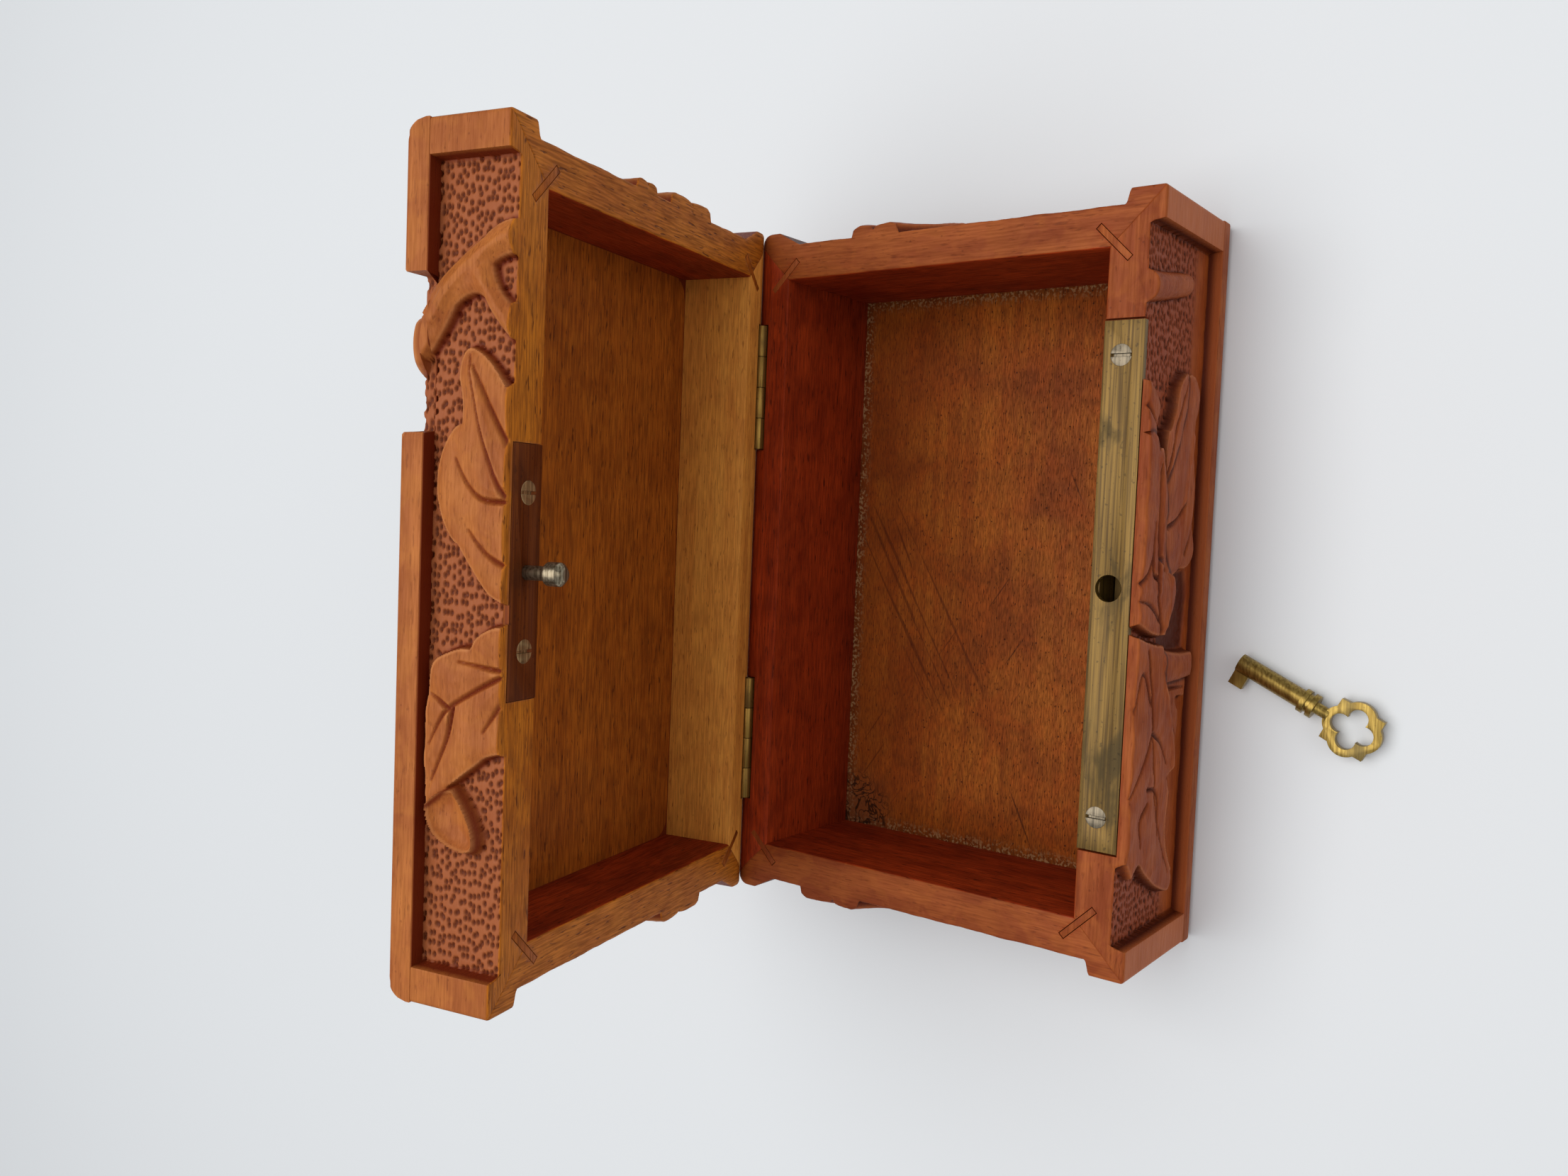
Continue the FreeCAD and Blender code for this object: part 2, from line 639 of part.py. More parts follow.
def board(label, bottom, thickness, edge_z, edge_radius, crisp_front=False):
    body = new_body(label)
    sketch = new_sketch(body, "XY", bottom)
    draw_rectangle(sketch, (-half_width, -half_depth), (half_width, half_depth))
    pad(body, sketch, thickness)
    round_back_corners(body, (-1, 1))

    def is_rounded(edge):
        on_face = all(abs(vertex.Point.z - number(edge_z)) < 0.001 for vertex in edge.Vertexes)
        in_front = all(abs(vertex.Point.y + half_depth.value) < 0.001 for vertex in edge.Vertexes)
        return on_face and not (in_front and crisp_front)

    round_edges(body, edge_radius, is_rounded)
    return body


def boards():
    board("base_bottom_board", 0, floor_z, 0, size["bottom_edge_radius"])
    top = board("lid_top_board", lid_wall_top, size["top_thickness"], lid_top, size["top_edge_radius"], True)
    border = size["top_border"]
    field = new_sketch(top, "XY", lid_top)
    draw_rectangle(field, (border - half_width, border - half_depth),
                   (half_width - border, half_depth - border))
    pocket(top, field, size["top_carve"])
    gap = new_sketch(top, "XY", lid_top)
    slant = size["top_gap_slant"]
    start, end = size["top_gap_start"], size["top_gap_end"]
    inside = border - half_depth
    draw_polygon(gap, [(start, -half_depth), (end, -half_depth), (end + slant, inside),
                       (start - slant, inside)])
    pocket(top, gap, size["top_carve"])
    # in the opening the edge is cut back to the carved ground of the front wall, but for the stalk
    edge = new_sketch(top, "XY", lid_top)
    reach = slant * size["carve_depth"] / border
    outer = [(start, -half_depth), (end, -half_depth)]
    draw_polygon(edge, outer + [(end + reach, -ground_y), (start - reach, -ground_y)])
    pocket(top, edge, size["top_thickness"])
    stalk = new_sketch(top, "XY", lid_wall_top)
    draw_rectangle(stalk, (top_stalk_start * along_width, -half_depth),
                   (top_stalk_end * along_width, -ground_y))
    pad(top, stalk, size["top_thickness"])
    carve_ground = lid_top - size["top_carve"]
    sketch = new_sketch(top, "XY", carve_ground)
    for points in top_leaves:
        draw_outline(sketch, field_outline(points, along_width, half_depth * 0, along_depth))
    pad(top, sketch, size["top_carve"])
    top.Placement = opened()


def splines():
    """Tongues in the slots of the eight mitres."""
    spans = {"base": (floor_z, base_rim - floor_z), "lid": (lid_rim, size["lid_wall_height"])}
    for part, (bottom, height) in spans.items():
        for end_name, end in (("front", -1), ("back", 1)):
            for side_name, side in (("left", -1), ("right", 1)):
                tongue = doc.addObject("Part::Box", f"{part}_spline_{end_name}_{side_name}")
                tongue.Label = tongue.Name
                pieces.append(tongue)
                bind(tongue, "Length", size["spline_length"])
                bind(tongue, "Width", size["spline_thickness"])
                bind(tongue, "Height", height)
                turn = FreeCAD.Rotation(FreeCAD.Vector(0, 0, 1), -45 * side * end)
                centre = FreeCAD.Vector(
                    (inner_x.value + size["spline_inset"].value) * side,
                    (inner_y.value + size["spline_inset"].value) * end,
                    bottom.value,
                )
                half = FreeCAD.Vector(size["spline_length"].value / 2, size["spline_thickness"].value / 2, 0)
                local = FreeCAD.Placement(centre - turn.multVec(half), turn)
                tongue.Placement = opened() * local if part == "lid" else local


# Hinges: knuckles 1 and 3 belong to the base leaf, 2 and 4 to the lid leaf
def hinge_leaf(label, centre, down, own, bore_radius):
    start = centre - size["hinge_length"] / 2
    clear = size["knuckle_clearance"]
    neck = size["knuckle_radius"] + size["barrel_clearance"]
    plate_height = size["leaf_depth"] - neck
    plate_bottom = axis_z - size["leaf_depth"] if down < 0 else axis_z + neck
    sheet_size = size["leaf_thickness"]
    blanks = [bar(f"{label}_plate", (start, leaf_front_y, plate_bottom), size["hinge_length"],
                  (sheet_size, plate_height))]
    for index in own:
        place = start + knuckle_length * index + clear / 2
        length = knuckle_length - clear
        blanks.append(rod(f"{label}_knuckle_{index}", (place, axis_y, axis_z), length,
                          size["knuckle_radius"]))
        web_bottom = axis_z - neck if down < 0 else axis_z
        blanks.append(bar(f"{label}_web_{index}", (place, leaf_front_y, web_bottom), length,
                          (sheet_size, neck)))
    whole = doc.addObject("Part::MultiFuse", f"{label}_blank")
    whole.Shapes = blanks
    bore = rod(f"{label}_bore", (start, axis_y, axis_z), size["hinge_length"], bore_radius)
    holes = [bore]
    shank = size["nail_shank"]
    for place, height in nail_places(down):
        corner = (place - shank / 2, leaf_front_y, height - shank / 2)
        holes.append(bar(f"{label}_nail_hole", corner, shank, (sheet_size, shank)))
    drilled = doc.addObject("Part::MultiFuse", f"{label}_holes")
    drilled.Shapes = holes
    leaf = doc.addObject("Part::Cut", label)
    leaf.Label = label
    leaf.Base = whole
    leaf.Tool = drilled
    pieces.append(leaf)
    return leaf


def hinge_nails(label, down):
    nails = []
    for index, (place, height) in enumerate(nail_places(down), 1):
        body = new_body(f"{label}_{index}")
        head = new_sketch(body, "XZ", -half_depth)
        draw_square(head, (place, height), size["nail_head"])
        pad(body, head, size["nail_head_thickness"])
        shank = new_sketch(body, "XZ", -half_depth)
        draw_square(shank, (place, height), size["nail_shank"])
        pad(body, shank, size["nail_length"])
        nails.append(body)
    return group(label, nails)


def hinges():
    for name, centre in hinge_centres.items():
        hinge_leaf(f"hinge_{name}_base_leaf", centre, -1, (0, 2), size["pin_radius"])
        running = size["pin_radius"] + size["running_clearance"]
        lid_leaf = hinge_leaf(f"hinge_{name}_lid_leaf", centre, 1, (1, 3), running)
        lid_leaf.Placement = opened()
        start = centre - size["hinge_length"] / 2
        pin = rod(f"hinge_{name}_pin", (start, axis_y, axis_z), size["hinge_length"], size["pin_radius"])
        pin.Label = pin.Name
        pieces.append(pin)
    hinge_nails("base_hinge_nails", -1)
    hinge_nails("lid_hinge_nails", 1).Placement = opened()


# Screws are drawn pointing down from the origin, then set in their plates
def slotted_screws(label, spacing, face_z, head_depth, upright):
    screws = []
    for side, name in ((-1, "left"), (1, "right")):
        body = new_body(f"{label}_{name}")
        sketch = new_sketch(body, "XZ")
        shank = size["screw_shank_radius"]
        end = -size["screw_length"]
        draw_polygon(sketch, [(0, 0), (size["screw_head_radius"], 0), (shank, -head_depth), (shank, end),
                              (0, end)])
        revolve(body, sketch, "V_Axis")
        slot = new_sketch(body, "XY")
        half = size["slot_width"] / 2
        reach = size["screw_head_radius"]
        draw_rectangle(slot, (-half, -reach), (half, reach))
        pocket(body, slot, size["slot_depth"])
        turn = FreeCAD.Rotation(FreeCAD.Vector(1, 0, 0), 0 if upright else 180)
        place = FreeCAD.Vector(number(spacing) * side / 2, stud_y.value, face_z.value)
        body.Placement = FreeCAD.Placement(place, turn)
        screws.append(body)
    return group(label, screws)


def lock_plates():
    plate = new_body("lock_face_plate")
    sketch = new_sketch(plate, "XY", lock_top)
    half = size["plate_length"] / 2
    draw_rectangle(sketch, (-half, -ground_y), (half, -inner_y))
    pad(plate, sketch, size["plate_thickness"])
    hole = new_sketch(plate, "XY", base_rim)
    draw_circle(hole, (0, stud_y), size["stud_hole_radius"])
    pocket(plate, hole, size["plate_thickness"])
    seat_screws(plate, size["screw_spacing"], base_rim, False, size["plate_thickness"])

    back = new_body("lock_back_plate")
    sketch = new_sketch(back, "XY", lock_top - size["lock_height"])
    draw_rectangle(sketch, (size["lock_width"] / -2, lock_back_y), (size["lock_width"] / 2, -inner_y))
    pad(back, sketch, size["lock_height"])

    cap = new_body("lock_cap")
    cap_half = size["lock_width"] / 2 - size["cap_margin"]
    cap_height = size["lock_height"] - size["cap_margin"]
    cap_front = lock_back_y - size["cap_depth"]
    sheet_size = size["cap_sheet"]
    sketch = new_sketch(cap, "XY", lock_top - cap_height)
    draw_rectangle(sketch, (-cap_half, cap_front), (cap_half, lock_back_y))
    pad(cap, sketch, cap_height)
    hollow = new_sketch(cap, "XY", lock_top)
    draw_rectangle(hollow, (sheet_size - cap_half, cap_front + sheet_size),
                   (cap_half - sheet_size, lock_back_y))
    pocket(cap, hollow, cap_height - sheet_size)
    cut_keyhole(cap)

    pin = new_body("lock_drill_pin")
    sketch = new_sketch(pin, "XZ", -lock_back_y)
    draw_circle(sketch, (0, key_axis_z), size["drill_pin_radius"])
    pad(pin, sketch, size["drill_pin_length"])

    slotted_screws("lock_face_screws", size["screw_spacing"], base_rim, size["plate_thickness"], True)


def seat_screws(body, spacing, face_z, from_below, thickness):
    """Conical seats for two countersunk heads, from the visible face of a plate."""
    rims = new_sketch(body, "XY", face_z)
    for side in (-1, 1):
        draw_circle(rims, (spacing * side / 2, stud_y), size["screw_head_radius"])
    narrowing = size["screw_head_radius"].value - size["screw_shank_radius"].value
    cone = pocket(body, rims, thickness, from_below)
    cone.TaperAngle = -math.degrees(math.atan2(narrowing, thickness.value))


def lock_works():
    bolt = new_body("lock_bolt")
    bolt_back = lock_back_y - size["bolt_clearance"]
    fork_top = lock_top - size["fork_drop"]
    fork_bottom = fork_top - size["fork_thickness"]
    stop = -size["stud_hole_radius"]
    cap_inside = size["lock_width"] / 2 - size["cap_margin"] - size["cap_sheet"]
    rear = size["bolt_rear_gap"] - cap_inside
    bolt_front = cap_inside - size["bolt_travel"] - size["bolt_front_gap"]
    plate = new_sketch(bolt, "XZ", -bolt_back)
    bar_top = base_rim - size["stud_length"] - size["bolt_clearance"]
    bar_bottom = key_axis_z + size["key_barrel_radius"] + size["bit_reach"] / 2
    talon = size["bit_length"] / 2
    talon_top = bar_bottom + size["bit_reach"]
    riser = stop - size["bolt_travel"] - size["bolt_clearance"]
    draw_polygon(plate, [
        (rear, bar_bottom), (-talon, bar_bottom), (-talon, talon_top), (talon, talon_top),
        (talon, bar_bottom), (bolt_front, bar_bottom), (bolt_front, bar_top), (riser, bar_top),
        (riser, fork_top), (rear, fork_top),
    ])
    pad(bolt, plate, size["bolt_thickness"])
    fork = new_sketch(bolt, "XY", fork_bottom)
    fork_front = lock_back_y - size["cap_depth"] + size["cap_sheet"] + size["bolt_clearance"]
    slot = size["fork_slot"] / 2
    slot_end = stop - size["bolt_travel"]
    draw_polygon(fork, [
        (rear, fork_front), (stop, fork_front), (stop, stud_y - slot), (slot_end, stud_y - slot),
        (slot_end, stud_y + slot), (stop, stud_y + slot), (stop, bolt_back), (rear, bolt_back),
    ])
    pad(bolt, fork, size["fork_thickness"])

    spring = new_body("bolt_spring")
    strip = new_sketch(spring, "XY", bar_top - size["spring_width"])
    seat_y = bolt_back.value - size["bolt_thickness"].value
    crest_y = fork_front.value
    sheet_size = size["spring_sheet"].value
    left = rear.value + size["spring_inset"].value
    right = bolt_front.value - size["spring_inset"].value
    middle = (left + right) / 2
    outer = Part.Arc(FreeCAD.Vector(left, seat_y), FreeCAD.Vector(middle, crest_y),
                     FreeCAD.Vector(right, seat_y))
    inset = sheet_size * 2
    inner = Part.Arc(FreeCAD.Vector(left + inset, seat_y), FreeCAD.Vector(middle, crest_y + sheet_size),
                     FreeCAD.Vector(right - inset, seat_y))
    strip.addGeometry(outer)
    strip.addGeometry(inner)
    strip.addGeometry(Part.LineSegment(FreeCAD.Vector(left, seat_y), FreeCAD.Vector(left + inset, seat_y)))
    strip.addGeometry(Part.LineSegment(FreeCAD.Vector(right - inset, seat_y), FreeCAD.Vector(right, seat_y)))
    pad(spring, strip, size["spring_width"])


def strike():
    plate = new_body("strike_plate")
    sketch = new_sketch(plate, "XY", lid_rim)
    half = size["strike_length"] / 2
    draw_rectangle(sketch, (-half, -ground_y), (half, -inner_y))
    pad(plate, sketch, size["strike_thickness"])
    hole = new_sketch(plate, "XY", lid_rim)
    draw_circle(hole, (0, stud_y), size["stud_neck_radius"])
    pocket(plate, hole, size["strike_thickness"], True)
    seat_screws(plate, size["strike_screw_spacing"], lid_rim, True, size["strike_thickness"])
    plate.Placement = opened()

    stud = new_body("strike_stud")
    sketch = new_sketch(stud, "XZ")
    neck = size["stud_neck_radius"]
    head = size["stud_head_radius"]
    head_top = -size["stud_neck_length"]
    shoulder = head_top - size["stud_flare"]
    draw_polygon(sketch, [
        (0, size["strike_thickness"]), (neck, size["strike_thickness"]), (neck, head_top), (head, shoulder),
        (head, size["stud_dome"] - size["stud_length"]), (head / 2, -size["stud_length"]),
        (0, -size["stud_length"]),
    ])
    revolve(stud, sketch, "V_Axis")
    stand = FreeCAD.Placement(FreeCAD.Vector(0, stud_y.value, lid_rim.value), FreeCAD.Rotation())
    stud.Placement = opened() * stand

    screws = slotted_screws("strike_screws", size["strike_screw_spacing"], lid_rim,
                            size["strike_thickness"], False)
    screws.Placement = opened()


def key():
    body = new_body("key")
    sketch = new_sketch(body, "XY")
    barrel_end = -size["key_barrel_length"]
    bead = size["key_bead"]
    collar = size["key_collar_radius"]
    neck = size["key_neck_radius"]
    waist = size["key_barrel_radius"]
    first_bead = barrel_end - bead
    second_bead = first_bead - size["key_bead_gap"]
    bead_end = second_bead - bead
    bow_edge = bead_end - size["key_neck_length"]
    neck_end = bow_edge - size["bow_ring"] / 2
    draw_polygon(sketch, [
        (0, 0), (0, waist), (barrel_end, waist), (barrel_end, collar), (first_bead, collar),
        (first_bead, waist), (second_bead, waist), (second_bead, collar), (bead_end, collar),
        (bead_end, neck), (neck_end, neck), (neck_end, 0),
    ])
    revolve(body, sketch, "H_Axis")
    bit = new_sketch(body, "XY")
    draw_rectangle(bit, (-size["bit_length"], waist / 2), (0, waist + size["bit_reach"]))
    pad(body, bit, size["bit_thickness"], centred=True)
    bow = new_sketch(body, "XY")
    centre_x = bow_edge.value - size["bow_lobe_radius"].value - size["bow_lobe_offset"].value
    draw_bow(bow, centre_x)
    pad(body, bow, size["bow_thickness"], centred=True)
    bore = new_sketch(body, "YZ")
    draw_circle(bore, (0, 0), size["key_bore_radius"])
    pocket(body, bore, size["key_bore_depth"])
    lie = FreeCAD.Vector(size["key_tip_x"].value, -half_depth.value - size["key_front_gap"].value,
                         collar.value)
    turn = FreeCAD.Rotation(FreeCAD.Vector(0, 0, 1), size["key_turn"].value)
    body.Placement = FreeCAD.Placement(lie, turn)


def draw_bow(sketch, centre_x):
    """Four lobes with a point between neighbours, and the opening inside them."""
    lobe = size["bow_lobe_radius"].value
    offset = size["bow_lobe_offset"].value
    hole = lobe - size["bow_ring"].value
    cusp = size["bow_cusp"].value
    sweep = size["bow_sweep"].value

    def at(angle, radius, start_x=0.0, start_y=0.0):
        turn = math.radians(angle)
        return FreeCAD.Vector(centre_x + start_x + radius * math.cos(turn),
                              start_y + radius * math.sin(turn), 0)

    meet = math.sqrt(2) * offset / 2 + math.sqrt(hole ** 2 - offset ** 2 / 2)
    for quarter in range(4):
        angle = 90 * quarter
        turn = math.radians(angle)
        middle = (offset * math.cos(turn), offset * math.sin(turn))
        first = at(angle - sweep, lobe, *middle)
        last = at(angle + sweep, lobe, *middle)
        sketch.addGeometry(Part.Arc(first, at(angle, lobe, *middle), last))
        point = at(angle + 45, cusp)
        following = math.radians(angle + 90)
        next_middle = (offset * math.cos(following), offset * math.sin(following))
        sketch.addGeometry(Part.LineSegment(last, point))
        sketch.addGeometry(Part.LineSegment(point, at(angle + 90 - sweep, lobe, *next_middle)))
        sketch.addGeometry(Part.Arc(at(angle - 45, meet), at(angle, hole, *middle), at(angle + 45, meet)))


base_walls()
lid_walls()
boards()
splines()
hinges()
lock_plates()
lock_works()
strike()
key()
doc.recompute()

failed = [item.Label for item in doc.Objects if "Invalid" in item.State or "Error" in item.State]
if failed:
    raise RuntimeError(f"failed objects: {failed}")
os.makedirs("parts", exist_ok=True)
for piece in pieces:
    shape = piece.Shape
    if shape.isNull() or not shape.isValid():
        raise RuntimeError(f"{piece.Label} has no valid shape")
    print(f"{piece.Label}: {len(shape.Solids)} solid, {shape.Volume:.1f} mm3")
for piece in pieces:
    piece.Shape.exportStep(f"parts/{piece.Label}.step")
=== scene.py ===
import bmesh
import bpy
import math
import numpy as np
from mathutils import Matrix, Vector


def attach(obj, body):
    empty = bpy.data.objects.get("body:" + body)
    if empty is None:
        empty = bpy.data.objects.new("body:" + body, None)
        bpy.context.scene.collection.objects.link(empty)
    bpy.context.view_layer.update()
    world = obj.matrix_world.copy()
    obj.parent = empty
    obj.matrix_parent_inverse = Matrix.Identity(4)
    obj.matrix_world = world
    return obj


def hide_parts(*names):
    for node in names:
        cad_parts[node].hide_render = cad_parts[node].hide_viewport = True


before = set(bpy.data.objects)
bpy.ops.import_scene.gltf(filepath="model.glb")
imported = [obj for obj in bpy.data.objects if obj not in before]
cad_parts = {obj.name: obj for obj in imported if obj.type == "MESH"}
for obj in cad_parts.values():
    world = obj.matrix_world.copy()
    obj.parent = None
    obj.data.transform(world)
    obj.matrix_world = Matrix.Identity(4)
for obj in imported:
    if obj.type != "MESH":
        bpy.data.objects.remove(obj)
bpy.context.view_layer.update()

mm = 0.001
print("stage: frame loaded")

# The closed box in millimetres, and how far its lid stands open in degrees
box = {
    "halfWidth": 75, "halfDepth": 48.5, "wall": 10.8, "ground": 2.9, "floor": 5.5, "baseRim": 38,
    "lidRim": 38.2, "lidWallTop": 54.7, "lidTop": 59.7, "hingeY": 44.660123, "hingeZ": 38.1, "opening": 78,
    "rimRound": 6, "backCorner": 5.5,
}


def tone(red, green, blue):
    shares = [value / 255 for value in (red, green, blue)]
    return tuple(s / 12.92 if s <= 0.04045 else ((s + 0.055) / 1.055) ** 2.4 for s in shares) + (1,)


# Shader and geometry node helpers
def addNode(tree, kind, inputs=None, **settings):
    node = tree.nodes.new(kind)
    for name, value in settings.items():
        setattr(node, name, value)
    for name, value in (inputs or {}).items():
        if isinstance(value, bpy.types.NodeSocket):
            tree.links.new(value, node.inputs[name])
        else:
            node.inputs[name].default_value = value
    return node


def deliver(tree, node, results):
    for name, socket in results.items():
        tree.links.new(socket, node.inputs[name])


def mixColour(tree, share, first, second):
    return addNode(tree, "ShaderNodeMix", {0: share, 6: first, 7: second}, data_type="RGBA").outputs[2]


def mathNode(tree, operation, first, second=0.5):
    return addNode(tree, "ShaderNodeMath", {0: first, 1: second}, operation=operation).outputs[0]


def times(tree, first, second):
    return mathNode(tree, "MULTIPLY", first, second)


def between(tree, value, low, high, start=0.0, end=1.0):
    inputs = {0: value, 1: low, 2: high, 3: start, 4: end}
    return addNode(tree, "ShaderNodeMapRange", inputs, interpolation_type="SMOOTHSTEP").outputs[0]


def vectorNode(tree, operation, first, second=(0, 0, 0), output="Vector"):
    return addNode(tree, "ShaderNodeVectorMath", {0: first, 1: second}, operation=operation).outputs[output]


def stretched(tree, vector, factors):
    return vectorNode(tree, "MULTIPLY", vector, factors)


def noise(tree, vector, scale, detail=3.0, distortion=0.0):
    inputs = {"Vector": vector, "Scale": scale, "Detail": detail, "Distortion": distortion}
    return addNode(tree, "ShaderNodeTexNoise", inputs).outputs["Fac"]


def bumped(tree, height, strength, distance):
    inputs = {"Height": height, "Strength": strength, "Distance": distance * mm}
    return addNode(tree, "ShaderNodeBump", inputs).outputs[0]


def readAttribute(tree, name, output="Fac"):
    return addNode(tree, "ShaderNodeAttribute", attribute_name=name).outputs[output]


def newGroup(name, inputs, outputs, kind="ShaderNodeTree"):
    tree = bpy.data.node_groups.new(name, kind)
    for label, socketKind, value in inputs:
        socket = tree.interface.new_socket(label, in_out="INPUT", socket_type=socketKind)
        if value is not None:
            socket.default_value = value
    for label, socketKind in outputs:
        tree.interface.new_socket(label, in_out="OUTPUT", socket_type=socketKind)
    return tree, tree.nodes.new("NodeGroupInput"), tree.nodes.new("NodeGroupOutput")


floatKind = "NodeSocketFloat"
vectorKind = "NodeSocketVector"
placeInput = ("Place", vectorKind, None)
normalOutput = ("Normal", vectorKind)


def floats(*labels):
    return [(label, floatKind) for label in labels]


def woodGrainGroup():
    outputs = floats("Bands", "Fibres", "Pores") + [normalOutput]
    tree, source, sink = newGroup("woodGrain", [placeInput, ("Relief", floatKind, 0.3)], outputs)
    place = source.outputs["Place"]
    bands = noise(tree, stretched(tree, place, (0.045, 1, 1)), 0.28, 4, 0.6)
    fibres = noise(tree, stretched(tree, place, (0.07, 1, 1)), 2.6, 3, 0.2)
    dashes = noise(tree, stretched(tree, place, (0.16, 1, 1)), 2.1, 2)
    pores = between(tree, dashes, 0.6, 0.72)
    height = mathNode(tree, "SUBTRACT", fibres, pores)
    deliver(tree, sink, {
        "Bands": between(tree, bands, 0.3, 0.7), "Fibres": between(tree, fibres, 0.3, 0.7), "Pores": pores,
        "Normal": bumped(tree, height, source.outputs["Relief"], 0.1),
    })
    return tree


def handWearGroup():
    outputs = floats("Blotch", "Patch", "Specks", "Scratches")
    tree, source, sink = newGroup("handWear", [placeInput], outputs)
    place = source.outputs["Place"]
    cells = addNode(tree, "ShaderNodeTexVoronoi", {"Vector": place, "Scale": 0.34, "Randomness": 1.0})
    scratches = None
    for turn, scale in ((0.6, 0.4), (-0.45, 0.33)):
        turned = addNode(tree, "ShaderNodeMapping", {"Vector": place, "Rotation": (0, 0, turn)})
        drawn = stretched(tree, turned.outputs[0], (0.035, 1, 1))
        lines = addNode(tree, "ShaderNodeTexVoronoi", {"Vector": drawn, "Scale": scale})
        line = between(tree, lines.outputs["Distance"], 0.1, 0.05)
        scratches = mathNode(tree, "MAXIMUM", scratches, line) if scratches else line
    deliver(tree, sink, {
        "Blotch": between(tree, noise(tree, place, 0.06, 3, 0.4), 0.35, 0.68),
        "Patch": between(tree, noise(tree, place, 0.17, 4, 0.8), 0.4, 0.66),
        "Specks": between(tree, cells.outputs["Distance"], 0.1, 0.05), "Scratches": scratches,
    })
    return tree


def rolledMetalGroup():
    outputs = floats("Lines", "Tarnish", "Spots") + [normalOutput]
    tree, source, sink = newGroup("rolledMetal", [placeInput, ("Relief", floatKind, 0.2)], outputs)
    place = source.outputs["Place"]
    lines = noise(tree, stretched(tree, place, (0.02, 1, 1)), 2.4, 4)
    tarnish = noise(tree, stretched(tree, place, (0.5, 1, 1)), 0.12, 4, 0.5)
    deliver(tree, sink, {
        "Lines": between(tree, lines, 0.32, 0.68), "Tarnish": between(tree, tarnish, 0.5, 0.66),
        "Spots": between(tree, noise(tree, place, 1.1, 2), 0.62, 0.72),
        "Normal": bumped(tree, lines, source.outputs["Relief"], 0.08),
    })
    return tree


woodGrain = woodGrainGroup()
handWear = handWearGroup()
rolledMetal = rolledMetalGroup()


def newMaterial(name):
    material = bpy.data.materials.new(name)
    material.use_nodes = True
    return material, material.node_tree, material.node_tree.nodes["Principled BSDF"]


def boardColour(tree, look, grain, wear):
    colour = mixColour(tree, grain.outputs["Bands"], look["dark"], look["light"])
    layers = [
        (wear, "Blotch", look["blotch"], "stain"), (wear, "Patch", 0.35, "warm"),
        (grain, "Fibres", look["fibre"], "deep"), (grain, "Pores", look["pores"], "deep"),
        (wear, "Specks", look["specks"], "deep"), (wear, "Scratches", look["scratches"], "deep"),
    ]
    for source, mask, share, paint in layers:
        colour = mixColour(tree, times(tree, source.outputs[mask], share), colour, look[paint])
    return colour


def woodMaterial(name, look, carved=None, rim=None, inside=None):
    material, tree, shader = newMaterial(name)
    place = readAttribute(tree, "woodAt", "Vector")
    fine = stretched(tree, place, (look["fineAlong"], look["fineAcross"], look["fineAcross"]))
    grain = addNode(tree, "ShaderNodeGroup", {"Place": fine, "Relief": look["relief"]}, node_tree=woodGrain)
    wear = addNode(tree, "ShaderNodeGroup", {"Place": place}, node_tree=handWear)
    colour = boardColour(tree, look, grain, wear)
    if carved:
        # Carved pieces: paler on high places, the ground's colour, the pits, and painted shade in the cuts
        # and hollows
        for label, share in (("worn", 0.7), ("ground", 0.85), ("pit", 0.9), ("cut", 1)):
            colour = mixColour(tree, times(tree, readAttribute(tree, label), share), colour, carved[label])
        inner = readAttribute(tree, "inner")
        colour = mixColour(tree, between(tree, inner, 0, 1), colour, boardColour(tree, rim, grain, wear))
        colour = mixColour(tree, between(tree, inner, 1, 2), colour, boardColour(tree, inside, grain, wear))
    smooth, dull = look["rough"] - 0.06, look["rough"] + 0.08
    deliver(tree, shader, {
        "Base Color": colour, "Roughness": between(tree, grain.outputs["Fibres"], 0, 1, smooth, dull),
        "Normal": grain.outputs["Normal"],
    })
    shader.inputs["Specular IOR Level"].default_value = 0.12
    return material


# A sheaf of slanting scratches on the floor
def raked(tree, centred, colour):
    away = vectorNode(tree, "SUBTRACT", centred, (-8, 21, 0))
    turned = addNode(tree, "ShaderNodeMapping", {"Vector": away, "Rotation": (0, 0, -0.53)}).outputs[0]
    lines = between(tree, noise(tree, stretched(tree, turned, (0.022, 1, 1)), 0.9, 1), 0.58, 0.64)
    parts = addNode(tree, "ShaderNodeSeparateXYZ", {0: vectorNode(tree, "ABSOLUTE", turned)})
    near = times(tree, between(tree, parts.outputs[0], 34, 18), between(tree, parts.outputs[1], 13, 7))
    return mixColour(tree, times(tree, times(tree, lines, near), 0.52), colour, tone(72, 26, 8))
